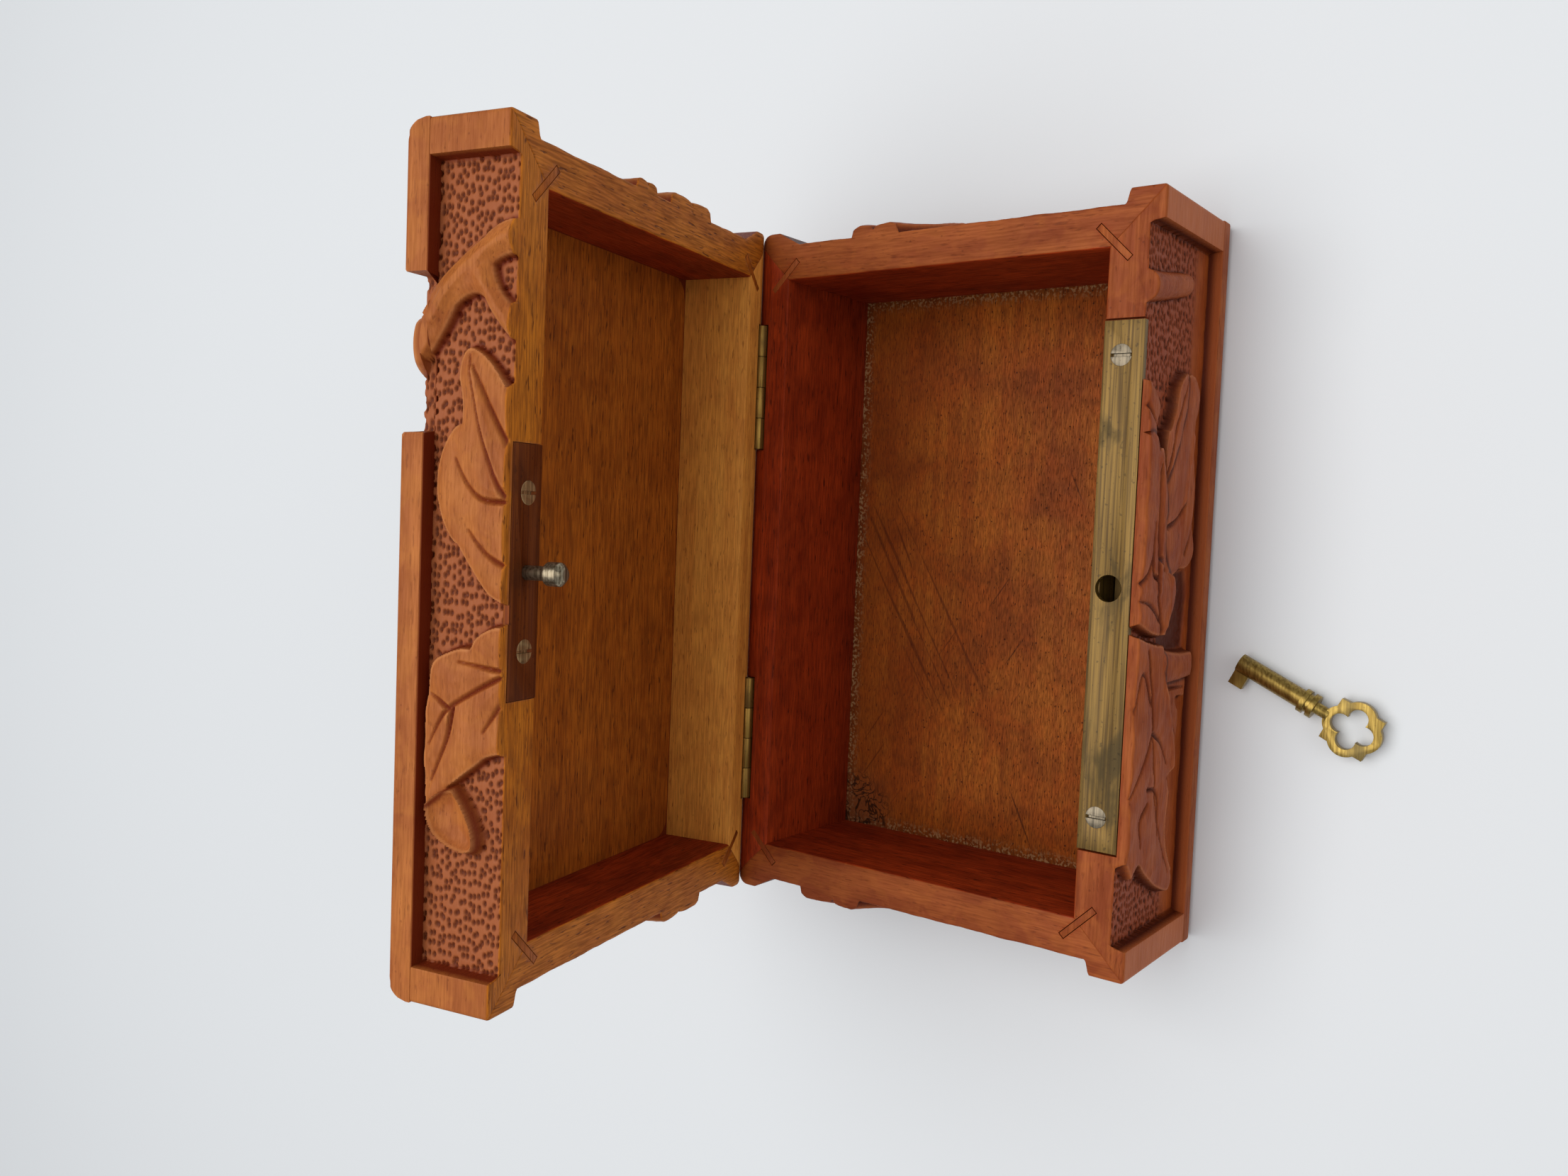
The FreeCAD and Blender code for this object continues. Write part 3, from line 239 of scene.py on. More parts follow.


# Painted shade darker towards the back wall and along the inner walls, crumbs of dust along the walls and
# fluff in one corner, on the floor only; outside the walls a ledge darker towards their foot
def dustAndShade(material, halfX, halfY, shift):
    tree = material.node_tree
    shader = tree.nodes["Principled BSDF"]
    colour = shader.inputs["Base Color"].links[0].from_socket
    place = readAttribute(tree, "woodAt", "Vector")
    centred = vectorNode(tree, "SUBTRACT", place, shift)
    parts = addNode(tree, "ShaderNodeSeparateXYZ", {0: vectorNode(tree, "ABSOLUTE", centred)})
    backward = addNode(tree, "ShaderNodeSeparateXYZ", {0: centred}).outputs[1]
    # Painted shade: the floor darker and redder towards the back wall
    colour = mixColour(tree, between(tree, backward, 0, 38, 0, 0.4), colour, tone(122, 50, 15))
    colour = raked(tree, centred, colour)
    gapX = mathNode(tree, "SUBTRACT", halfX, parts.outputs[0])
    gapY = mathNode(tree, "SUBTRACT", halfY, parts.outputs[1])
    gap = mathNode(tree, "MINIMUM", gapX, gapY)
    inside = between(tree, gap, -0.4, 0)
    # A band along the inner walls darkened as painted shade; the pale crumbs in it are dust
    near = times(tree, between(tree, gap, 3.5, 0), inside)
    crumbs = times(tree, between(tree, noise(tree, place, 1.6, 3), 0.5, 0.6), near)
    colour = mixColour(tree, times(tree, near, 0.45), colour, tone(58, 22, 8))
    colour = mixColour(tree, times(tree, crumbs, 0.55), colour, tone(186, 148, 104))
    corner = vectorNode(tree, "DISTANCE", centred, (2 - halfX, halfY - 2, box["floor"]), "Value")
    haze = times(tree, between(tree, corner, 16, 2), 0.4)
    colour = mixColour(tree, haze, colour, tone(120, 76, 50))
    curl = mathNode(tree, "ABSOLUTE", mathNode(tree, "SUBTRACT", noise(tree, place, 0.24, 2, 2), 0.5))
    threads = times(tree, between(tree, curl, 0.06, 0.03), between(tree, corner, 13, 8))
    colour = mixColour(tree, times(tree, threads, 0.85), colour, tone(34, 16, 9))
    ledge = mixColour(tree, between(tree, gap, -8.2, -10), tone(88, 32, 12), tone(160, 80, 38))
    tree.links.new(mixColour(tree, inside, ledge, colour), shader.inputs["Base Color"])


def metalMaterial(name, look):
    material, tree, shader = newMaterial(name)
    inputs = {"Place": readAttribute(tree, "woodAt", "Vector"), "Relief": look["relief"]}
    metal = addNode(tree, "ShaderNodeGroup", inputs, node_tree=rolledMetal)
    colour = mixColour(tree, metal.outputs["Lines"], look["dark"], look["light"])
    for mask, share, paint in (("Tarnish", "tarnish", "dull"), ("Spots", "spots", "deep")):
        colour = mixColour(tree, times(tree, metal.outputs[mask], look[share]), colour, look[paint])
    rough = between(tree, metal.outputs["Tarnish"], 0, 1, look["rough"], look["rough"] + 0.2)
    deliver(tree, shader, {"Base Color": colour, "Roughness": rough, "Normal": metal.outputs["Normal"]})
    shader.inputs["Metallic"].default_value = look["metallic"]
    return material


# A look is a usual one with some of its values changed; triples are colours
def lookOf(usual, **changes):
    tones = {name: tone(*value) if isinstance(value, tuple) else value for name, value in changes.items()}
    return dict(usual, **tones)


plainWood = {
    "blotch": 0.5, "fibre": 0.25, "pores": 0.35, "specks": 0.3, "scratches": 0.1, "relief": 0.35,
    "rough": 0.5, "fineAlong": 1, "fineAcross": 1,
}
outerLook = lookOf(plainWood, dark=(158, 86, 40), light=(184, 108, 52), stain=(146, 74, 32),
                   warm=(194, 120, 52), deep=(90, 36, 14))
# The base's outer wood: a copy of the outer look painted darker and redder as shade
baseShadedLook = lookOf(plainWood, dark=(143, 62, 24), light=(165, 80, 34), stain=(128, 51, 18),
                  warm=(173, 89, 35), deep=(78, 26, 9), blotch=0.6)
rimLook = lookOf(plainWood, dark=(140, 64, 27), light=(174, 92, 44), stain=(126, 54, 22),
                 warm=(180, 100, 42), deep=(82, 29, 10), blotch=0.6, fibre=0.3, pores=0.4, specks=0.4,
                 scratches=0.15, relief=0.4, rough=0.52)
insideLook = lookOf(plainWood, dark=(146, 47, 16), light=(180, 64, 24), stain=(126, 36, 12),
                    warm=(182, 68, 26), deep=(58, 12, 4), blotch=0.6, fibre=0.5, pores=0.7, specks=0.2)
floorLook = lookOf(plainWood, dark=(162, 83, 25), light=(190, 106, 33), stain=(136, 60, 17),
                   warm=(192, 90, 24), deep=(50, 17, 5), blotch=0.7, fibre=0.55, pores=0.9, specks=0.8,
                   scratches=0.65, relief=0.5, rough=0.55, fineAlong=2.6, fineAcross=1.5)
# Gold: the lid's inner wood with painted warm light, a lit copy; the lid's splines take it too
goldLitLook = lookOf(plainWood, dark=(162, 82, 22), light=(184, 98, 28), stain=(144, 69, 17),
                  warm=(192, 108, 32), deep=(74, 28, 7), fibre=0.55, pores=0.8, specks=0.2,
                  scratches=0.08, relief=0.3)
# Pale: a brightly lit copy of the inner wood, painted light
paleLitLook = lookOf(plainWood, dark=(228, 147, 62), light=(246, 168, 74), stain=(216, 132, 54),
                  warm=(248, 170, 72), deep=(116, 54, 18), blotch=0.4, fibre=0.4, pores=0.6, specks=0.2,
                  scratches=0.08, relief=0.3)
# The lid's rims: a brighter lit copy of the gold look, painted light
lidRimLitLook = lookOf(goldLitLook, dark=(185, 102, 26), light=(205, 120, 33), stain=(170, 88, 21),
                    warm=(214, 128, 36))
# Carved colours: paler high places, the ground, the pits, and painted shade in the cuts; the base's set is a
# darker shaded copy
lidCarved = lookOf({}, ground=(157, 87, 51), pit=(84, 32, 14), cut=(104, 28, 8), worn=(206, 134, 78))
baseShadedCarved = lookOf({}, ground=(142, 66, 37), pit=(28, 8, 3), cut=(58, 13, 4), worn=(190, 108, 60))
# The base's carved walls take the shaded copies, painted shade
baseShadedWood = woodMaterial("baseShadedWood", baseShadedLook, baseShadedCarved, rimLook, insideLook)
lidWood = woodMaterial("lidWood", outerLook, lidCarved, lidRimLitLook, insideLook)
outerWood = woodMaterial("outerWood", outerLook)
rimWood = woodMaterial("rimWood", rimLook)
insideWood = woodMaterial("insideWood", insideLook)
floorWood = woodMaterial("floorWood", floorLook)


# Each piece reads the grain at another place
def grainShift(shift):
    return shift, shift * 1.7, shift * 0.6


pieceShift = 13
dustAndShade(floorWood, box["halfWidth"] - box["wall"], box["halfDepth"] - box["wall"],
      grainShift(pieceShift))
# Lit copies, painted light: gold for the lid's inside and splines, pale for the lid back wall's inner face
goldLitWood = woodMaterial("goldLitWood", goldLitLook)
paleLitWood = woodMaterial("paleLitWood", paleLitLook)

plainMetal = {"tarnish": 0.6, "spots": 0.4, "relief": 0.3, "rough": 0.34, "metallic": 0.8}
faceBrass = metalMaterial("faceBrass", lookOf(
    plainMetal, dark=(86, 63, 25), light=(132, 102, 46), dull=(82, 68, 40), deep=(48, 36, 18),
    tarnish=0.8, spots=0.5, relief=0.5, rough=0.46, metallic=0.55))
darkBrass = metalMaterial("darkBrass", lookOf(
    plainMetal, dark=(100, 44, 10), light=(128, 64, 16), dull=(82, 34, 8), deep=(48, 18, 6),
    rough=0.5, metallic=0.75))
screwBrass = metalMaterial("screwBrass", lookOf(
    plainMetal, dark=(128, 102, 68), light=(200, 170, 122), dull=(92, 64, 40), deep=(44, 28, 18),
    rough=0.35))
hingeBrass = metalMaterial("hingeBrass", lookOf(
    plainMetal, dark=(120, 88, 36), light=(168, 130, 60), dull=(96, 70, 36), deep=(60, 40, 20),
    rough=0.36))
keyBrass = metalMaterial("keyBrass", lookOf(
    plainMetal, dark=(122, 98, 44), light=(166, 140, 72), dull=(110, 100, 72), deep=(64, 48, 24),
    tarnish=0.5, spots=0.35, relief=0.25, metallic=0.85))
steel = metalMaterial("steel", lookOf(
    plainMetal, dark=(92, 84, 70), light=(136, 124, 104), dull=(78, 68, 54), deep=(50, 42, 32),
    spots=0.6, relief=0.4, rough=0.4))
studMetal = metalMaterial("studMetal", lookOf(
    plainMetal, dark=(92, 80, 60), light=(158, 146, 122), dull=(74, 56, 36), deep=(46, 32, 20),
    metallic=0.85))
print("stage: materials")


# Turns points about the hinge: the lid is drawn closed and rests open
def turnLid(points, degrees):
    turn = math.radians(degrees)
    y = points[:, 1] - box["hingeY"]
    z = points[:, 2] - box["hingeZ"]
    turned = points.copy()
    turned[:, 1] = box["hingeY"] + y * math.cos(turn) + z * math.sin(turn)
    turned[:, 2] = box["hingeZ"] - y * math.sin(turn) + z * math.cos(turn)
    return turned


def setLayer(mesh, name, kind, field, values):
    layer = mesh.attributes.new(name, kind, "POINT")
    layer.data.foreach_set(field, np.ascontiguousarray(values, np.float32).ravel())


def faceOut(mesh):
    work = bmesh.new()
    work.from_mesh(mesh)
    bmesh.ops.recalc_face_normals(work, faces=work.faces)
    work.to_mesh(mesh)
    work.free()


def newObject(name, mesh):
    item = bpy.data.objects.new(name, mesh)
    bpy.context.scene.collection.objects.link(item)
    return item


# Grain runs along x in the long boards and along y in the ends
def grainPlaces(mesh, lid, along, shift):
    points = np.zeros(len(mesh.vertices) * 3, np.float32)
    mesh.vertices.foreach_get("co", points)
    points = points.reshape(-1, 3).astype(float) / mm
    if lid:
        points = turnLid(points, -box["opening"])
    if along == "y":
        points = points[:, [1, 0, 2]]
    setLayer(mesh, "woodAt", "FLOAT_VECTOR", "vector", points + np.array(grainShift(shift)))


def smoothFaces(mesh, angle):
    mesh.polygons.foreach_set("use_smooth", np.ones(len(mesh.polygons), bool))
    mesh.set_sharp_from_angle(angle=math.radians(angle))


# A finished piece: its material, the CAD nodes it stands for and the body it rides on
def hand(item, materials, nodes, body):
    item.data.materials.clear()
    for material in materials:
        item.data.materials.append(material)
    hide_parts(*nodes)
    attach(item, body)


# A CAD piece with its edges worn round
def softened(node, width, lid, shift):
    sharpAngle = math.radians(40)
    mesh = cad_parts[node].data.copy()
    mesh.materials.clear()
    work = bmesh.new()
    work.from_mesh(mesh)
    bmesh.ops.remove_doubles(work, verts=work.verts, dist=0.002 * mm)
    bmesh.ops.dissolve_limit(work, angle_limit=math.radians(1), verts=work.verts, edges=work.edges)
    sharp = [edge for edge in work.edges if edge.is_manifold and edge.calc_face_angle(0) > sharpAngle]
    bmesh.ops.bevel(work, geom=sharp, offset=width * mm, offset_type="OFFSET", segments=2, profile=0.5,
                    affect="EDGES", clamp_overlap=True)
    bmesh.ops.recalc_face_normals(work, faces=work.faces)
    work.to_mesh(mesh)
    work.free()
    smoothFaces(mesh, 35)
    grainPlaces(mesh, lid, "x", shift)
    return newObject(node + "Worn", mesh)


# Carving: distances and smooth steps on arrays of points
def arcPoints(outline, count=8):
    points = []
    total = len(outline)
    for index in range(0, total, 2):
        start, way, end = [np.array(outline[(index + step) % total], float) for step in range(3)]
        control = 2 * way - (start + end) / 2
        for share in np.arange(count) / count:
            points.append(start * (1 - share) ** 2 + 2 * control * share * (1 - share) + end * share ** 2)
    return np.array(points)


def curvePoints(path, count=6):
    path = np.array(path, float)
    padded = np.vstack([2 * path[0] - path[1], path, 2 * path[-1] - path[-2]])
    points = []
    for index in range(1, len(padded) - 2):
        a, b, c, d = padded[index - 1:index + 3]
        for share in np.arange(count) / count:
            points.append(0.5 * (2 * b + (c - a) * share + (2 * a - 5 * b + 4 * c - d) * share ** 2
                                 + (3 * b - a - 3 * c + d) * share ** 3))
    return np.array(points + [path[-1]])


# How far each point lies from a line, and how far along the line that is
def nearestOn(points, line, closed=False):
    ends = np.roll(line, -1, 0) if closed else line[1:]
    starts = line if closed else line[:-1]
    nearest = np.full(len(points), 1e9)
    along = np.zeros(len(points))
    for index, (start, end) in enumerate(zip(starts, ends)):
        way = end - start
        share = np.clip(((points - start) @ way) / max(way @ way, 1e-9), 0, 1)
        gap = points - start - share[:, None] * way
        square = np.einsum("ij,ij->i", gap, gap)
        closer = square < nearest
        nearest = np.where(closer, square, nearest)
        along = np.where(closer, (index + share) / len(starts), along)
    return np.sqrt(nearest), along


def insideOf(points, line):
    odd = np.zeros(len(points), bool)
    for start, end in zip(line, np.roll(line, -1, 0)):
        if start[1] != end[1]:
            crosses = (start[1] > points[:, 1]) != (end[1] > points[:, 1])
            reach = (end[0] - start[0]) * (points[:, 1] - start[1]) / (end[1] - start[1]) + start[0]
            odd ^= crosses & (points[:, 0] < reach)
    return odd


def rise(value, low, high):
    share = np.clip((value - low) / (high - low), 0, 1)
    return share * share * (3 - 2 * share)


# A bell of the given middle and width, and how far a rounded edge drops near its end
def bell(value, middle, width):
    return np.exp(-((value - middle) / width) ** 2)


def roundDrop(radius, distance):
    over = np.clip(radius - distance, 0, radius)
    return radius - np.sqrt(radius ** 2 - over ** 2)


def ripple(points, length, seed):
    waves = 7
    chance = np.random.default_rng(seed)
    total = np.zeros(len(points))
    for wave in range(waves):
        angle = chance.uniform(0, math.tau)
        pitch = math.tau / (length * chance.uniform(0.6, 1.7))
        way = np.array([math.cos(angle), math.sin(angle)]) * pitch
        total += np.sin(points @ way + chance.uniform(0, math.tau))
    return total / waves


# How far each spot of a grid stands above the spots around it
def standsOut(height, reach):
    smooth = height
    for axis in (0, 1):
        margins = [(reach, reach) if axis == way else (0, 0) for way in (0, 1)]
        padded = np.pad(smooth, margins, mode="edge")
        places = np.arange(smooth.shape[axis])
        smooth = np.mean([np.take(padded, places + step, axis) for step in range(2 * reach + 1)], axis=0)
    return height - smooth


# Painted shade darkens the hollows of a carved surface, and its high places are painted paler
def shadeAndPale(raised, cut):
    return np.maximum(cut, 0.5 * rise(-raised, 0.12, 0.6)), rise(raised, 0.08, 0.5)


# One leaf: steep cut edge, blade swelling between v-cut veins that fade out, raised folds
def carveLeaf(points, leaf, height, cut):
    line = arcPoints(leaf["outline"])
    low = line.min(0) - 2
    high = line.max(0) + 2
    near = np.where(((points > low) & (points < high)).all(1))[0]
    spots = points[near]
    edge = nearestOn(spots, line, True)[0]
    depth = np.where(insideOf(spots, line), edge, -edge)
    crowned = 1 - np.exp(-np.maximum(depth, 0) / leaf.get("round", 1.5))
    blade = leaf["edge"] + (leaf["crown"] - leaf["edge"]) * crowned
    blade = blade + (spots - line.mean(0)) @ np.array(leaf.get("slope", (0, 0)))
    blade = blade + 0.16 * ripple(spots, 6, len(line)) + 0.05 * ripple(spots, 1.8, len(line) + 1)
    swell = np.full(len(spots), 9.0)
    veinCut = np.zeros(len(spots))
    groove = np.zeros(len(spots))
    for path in leaf.get("veins", []):
        gap, share = nearestOn(spots, curvePoints(path))
        swell = np.minimum(swell, gap)
        shape = np.clip(1 - gap / (0.75 - 0.4 * share), 0, 1)
        groove = np.maximum(groove, shape * (0.85 - 0.5 * share))
        # Painted shade in the v-cut veins
        dark = np.clip(1.2 - gap / (0.6 - 0.3 * share), 0, 1)
        veinCut = np.maximum(veinCut, dark * (0.95 - 0.4 * share))
    blade = blade + 0.4 * (1 - bell(swell, 0, 2.2)) - groove
    for path in leaf.get("folds", []):
        gap = nearestOn(spots, curvePoints(path))[0]
        blade = blade + 0.55 * bell(gap, 0, 1.1)
    steep = leaf["edge"] * 0.95 + depth * 2.8
    blade = np.where(depth < 0, steep, np.minimum(blade, 2.85))
    over = blade > height[near]
    cut[near] = np.where(over & (depth > 0), veinCut, cut[near])
    # Painted shade along the leaf's cut edge at the ground
    foot = bell(depth, -0.35, 0.45)
    cut[near] = np.maximum(cut[near], foot * 0.85 * (over | (depth < 0)))
    height[near] = np.where(over, blade, height[near])


def carveStem(points, stem, height, cut):
    gap, share = nearestOn(points, curvePoints(stem["path"]))
    width = stem["width"][0] + (stem["width"][1] - stem["width"][0]) * share
    body = stem["height"] * np.sqrt(np.clip(1 - (gap / width) ** 2, 0, 1))
    # Painted shade along the stem's foot
    cut[:] = np.where(body > height, 0, np.maximum(cut, 0.7 * bell(gap, width, 0.4)))
    height[:] = np.maximum(height, body)


def reliefOf(points, design):
    height = np.zeros(len(points))
    cut = np.zeros(len(points))
    for leaf in design.get("leaves", []):
        carveLeaf(points, leaf, height, cut)
    for stem in design.get("stems", []):
        carveStem(points, stem, height, cut)
    ground = 1 - rise(height, 0.1, 0.5)
    height += ground * (0.14 * ripple(points, 9, 5) + 0.06 * ripple(points, 2.5, 6))
    for hollow in design.get("hollows", []):
        line = arcPoints(hollow["outline"])
        depth = np.where(insideOf(points, line), nearestOn(points, line, True)[0], 0)
        sunk = ground * rise(depth, 0, 1.2)
        height -= sunk * (hollow["depth"] + 0.25 * ripple(points, 2.2, 8))
        # Painted shade in the sunk hollow
        cut[:] = np.maximum(cut, 0.85 * sunk)
        ground = ground * (1 - sunk)
    plainBelow = design.get("plainBelow", -99)
    ground = ground * rise(points[:, 1], plainBelow, plainBelow + 3)
    return height, cut, ground


# Punched pits, pressed into the ground
def punchTree():
    geometryKind = "NodeSocketGeometry"
    inputs = [("Geometry", geometryKind, None), ("Spacing", floatKind, 1.15), ("Depth", floatKind, 0.4),
              ("Wood", "NodeSocketMaterial", None)]
    outputs = [("Geometry", geometryKind)]
    tree, source, sink = newGroup("punchedGround", inputs, outputs, "GeometryNodeTree")

    def named(label, kind):
        node = addNode(tree, "GeometryNodeInputNamedAttribute", {"Name": label}, data_type=kind)
        return node.outputs["Attribute"]

    place = stretched(tree, named("carveAt", "FLOAT_VECTOR"), (0.66, 1.04, 1))
    scale = mathNode(tree, "DIVIDE", 1.0, source.outputs["Spacing"])
    cells = addNode(tree, "ShaderNodeTexVoronoi", {"Vector": place, "Scale": scale, "Randomness": 0.75},
                    voronoi_dimensions="2D")
    pit = times(tree, between(tree, cells.outputs["Distance"], 0.46, 0.14), named("ground", "FLOAT"))
    push = times(tree, times(tree, pit, source.outputs["Depth"]), -mm)
    outward = tree.nodes.new("GeometryNodeInputNormal").outputs[0]
    offset = addNode(tree, "ShaderNodeVectorMath", {0: outward, "Scale": push}, operation="SCALE").outputs[0]
    stored = addNode(tree, "GeometryNodeStoreNamedAttribute", {
        "Geometry": source.outputs["Geometry"], "Name": "pit", "Value": pit,
    }, data_type="FLOAT", domain="POINT").outputs[0]
    moved = addNode(tree, "GeometryNodeSetPosition", {"Geometry": stored, "Offset": offset}).outputs[0]
    real = addNode(tree, "GeometryNodeRealizeInstances", {"Geometry": moved}).outputs[0]
    done = addNode(tree, "GeometryNodeSetMaterial", {"Geometry": real, "Material": source.outputs["Wood"]})
    deliver(tree, sink, {"Geometry": done.outputs[0]})
    return tree


punchedGround = punchTree()


def bake(item):
    graph = bpy.context.evaluated_depsgraph_get()
    graph.update()
    made = item.evaluated_get(graph)
    mesh = bpy.data.meshes.new_from_object(made, preserve_all_data_layers=True, depsgraph=graph)
    item.modifiers.clear()
    item.data = mesh


def punch(item, spacing, wood):
    modifier = item.modifiers.new("punch", "NODES")
    modifier.node_group = punchedGround
    wanted = {"Spacing": spacing, "Depth": 0.42, "Wood": wood}
    for socket in punchedGround.interface.items_tree:
        if socket.in_out == "INPUT" and socket.name in wanted:
            modifier[socket.identifier] = wanted[socket.name]
    bake(item)


# A block to cut with: its low and high corner, turned about its own middle
def block(low, high, lid, turn=0.0):
    low, high = np.array(low, float), np.array(high, float)
    middle = (low + high) / 2
    corners = np.array([[x, y, z] for x in (-1, 1) for y in (-1, 1) for z in (-1, 1)]) * (high - low) / 2
    cos, sin = math.cos(turn), math.sin(turn)
    corners = corners @ np.array([[cos, sin, 0], [-sin, cos, 0], [0, 0, 1]]) + middle
    if lid:
        corners = turnLid(corners, box["opening"])
    mesh = bpy.data.meshes.new("cutter")
    faces = [(0, 1, 3, 2), (4, 6, 7, 5), (0, 4, 5, 1), (2, 3, 7, 6), (0, 2, 6, 4), (1, 5, 7, 3)]
    mesh.from_pydata(corners * mm, [], faces)
    faceOut(mesh)
    return newObject("cutter", mesh)


def cutAway(item, cutters):
    for cutter in cutters:
        modifier = item.modifiers.new("cut", "BOOLEAN")
        modifier.operation = "DIFFERENCE"
        modifier.object = cutter
        modifier.solver = "MANIFOLD"
    bake(item)
    item.data.validate(clean_customdata=False)
    for cutter in cutters:
        bpy.data.objects.remove(cutter)


# The slots of the tongues across a wall's two mitres
def tongueSlots(corners, lid):
    inset, halfSlot, halfGap = 1, 4.7, 0.75
    low, high = (37, 55) if lid else (5, 39)
    blocks = []
    for side, end in corners:
        x = (box["halfWidth"] - box["wall"] + inset) * side
        y = (box["halfDepth"] - box["wall"] + inset) * end
        lowest = (x - halfSlot, y - halfGap, low)
        highest = (x + halfSlot, y + halfGap, high)
        blocks.append(block(lowest, highest, lid, math.radians(-45 * side * end)))
    return blocks


def gridFaces(index):
    corners = [index[:-1, :-1], index[1:, :-1], index[1:, 1:], index[:-1, 1:]]
    return np.stack(corners, -1).reshape(-1, 4).tolist()


# A carved piece; each layer has values for its grid and then for the points beside it
def carvedPiece(name, points, faces, carveAt, layers, lid, spacing, cutters):
    mesh = bpy.data.meshes.new(name)
    mesh.from_pydata((turnLid(points, box["opening"]) if lid else points) * mm, [], faces)
    beside = np.zeros((len(points) - len(carveAt), 3))
    setLayer(mesh, "carveAt", "FLOAT_VECTOR", "vector", np.vstack([carveAt, beside]))
    for label, (grid, rest) in layers.items():
        setLayer(mesh, label, "FLOAT", "value", np.concatenate([grid.ravel(), rest]))
    faceOut(mesh)
    item = newObject(name, mesh)
    punch(item, spacing, lidWood if lid else baseShadedWood)
    if cutters:
        cutAway(item, cutters)
    smoothFaces(item.data, 40)
    return item


# Posts at the corners: their widths on the fronts and the ends, and the widths of their sloping sides
posts = {"front": 6.2, "end": 7.5, "back": 7.5, "slope": 0.5, "backSlope": 5.5}
# Worn edges of the walls
wallEdges = {"rim": 0.45, "corner": 0.8, "mitre": 0.35}


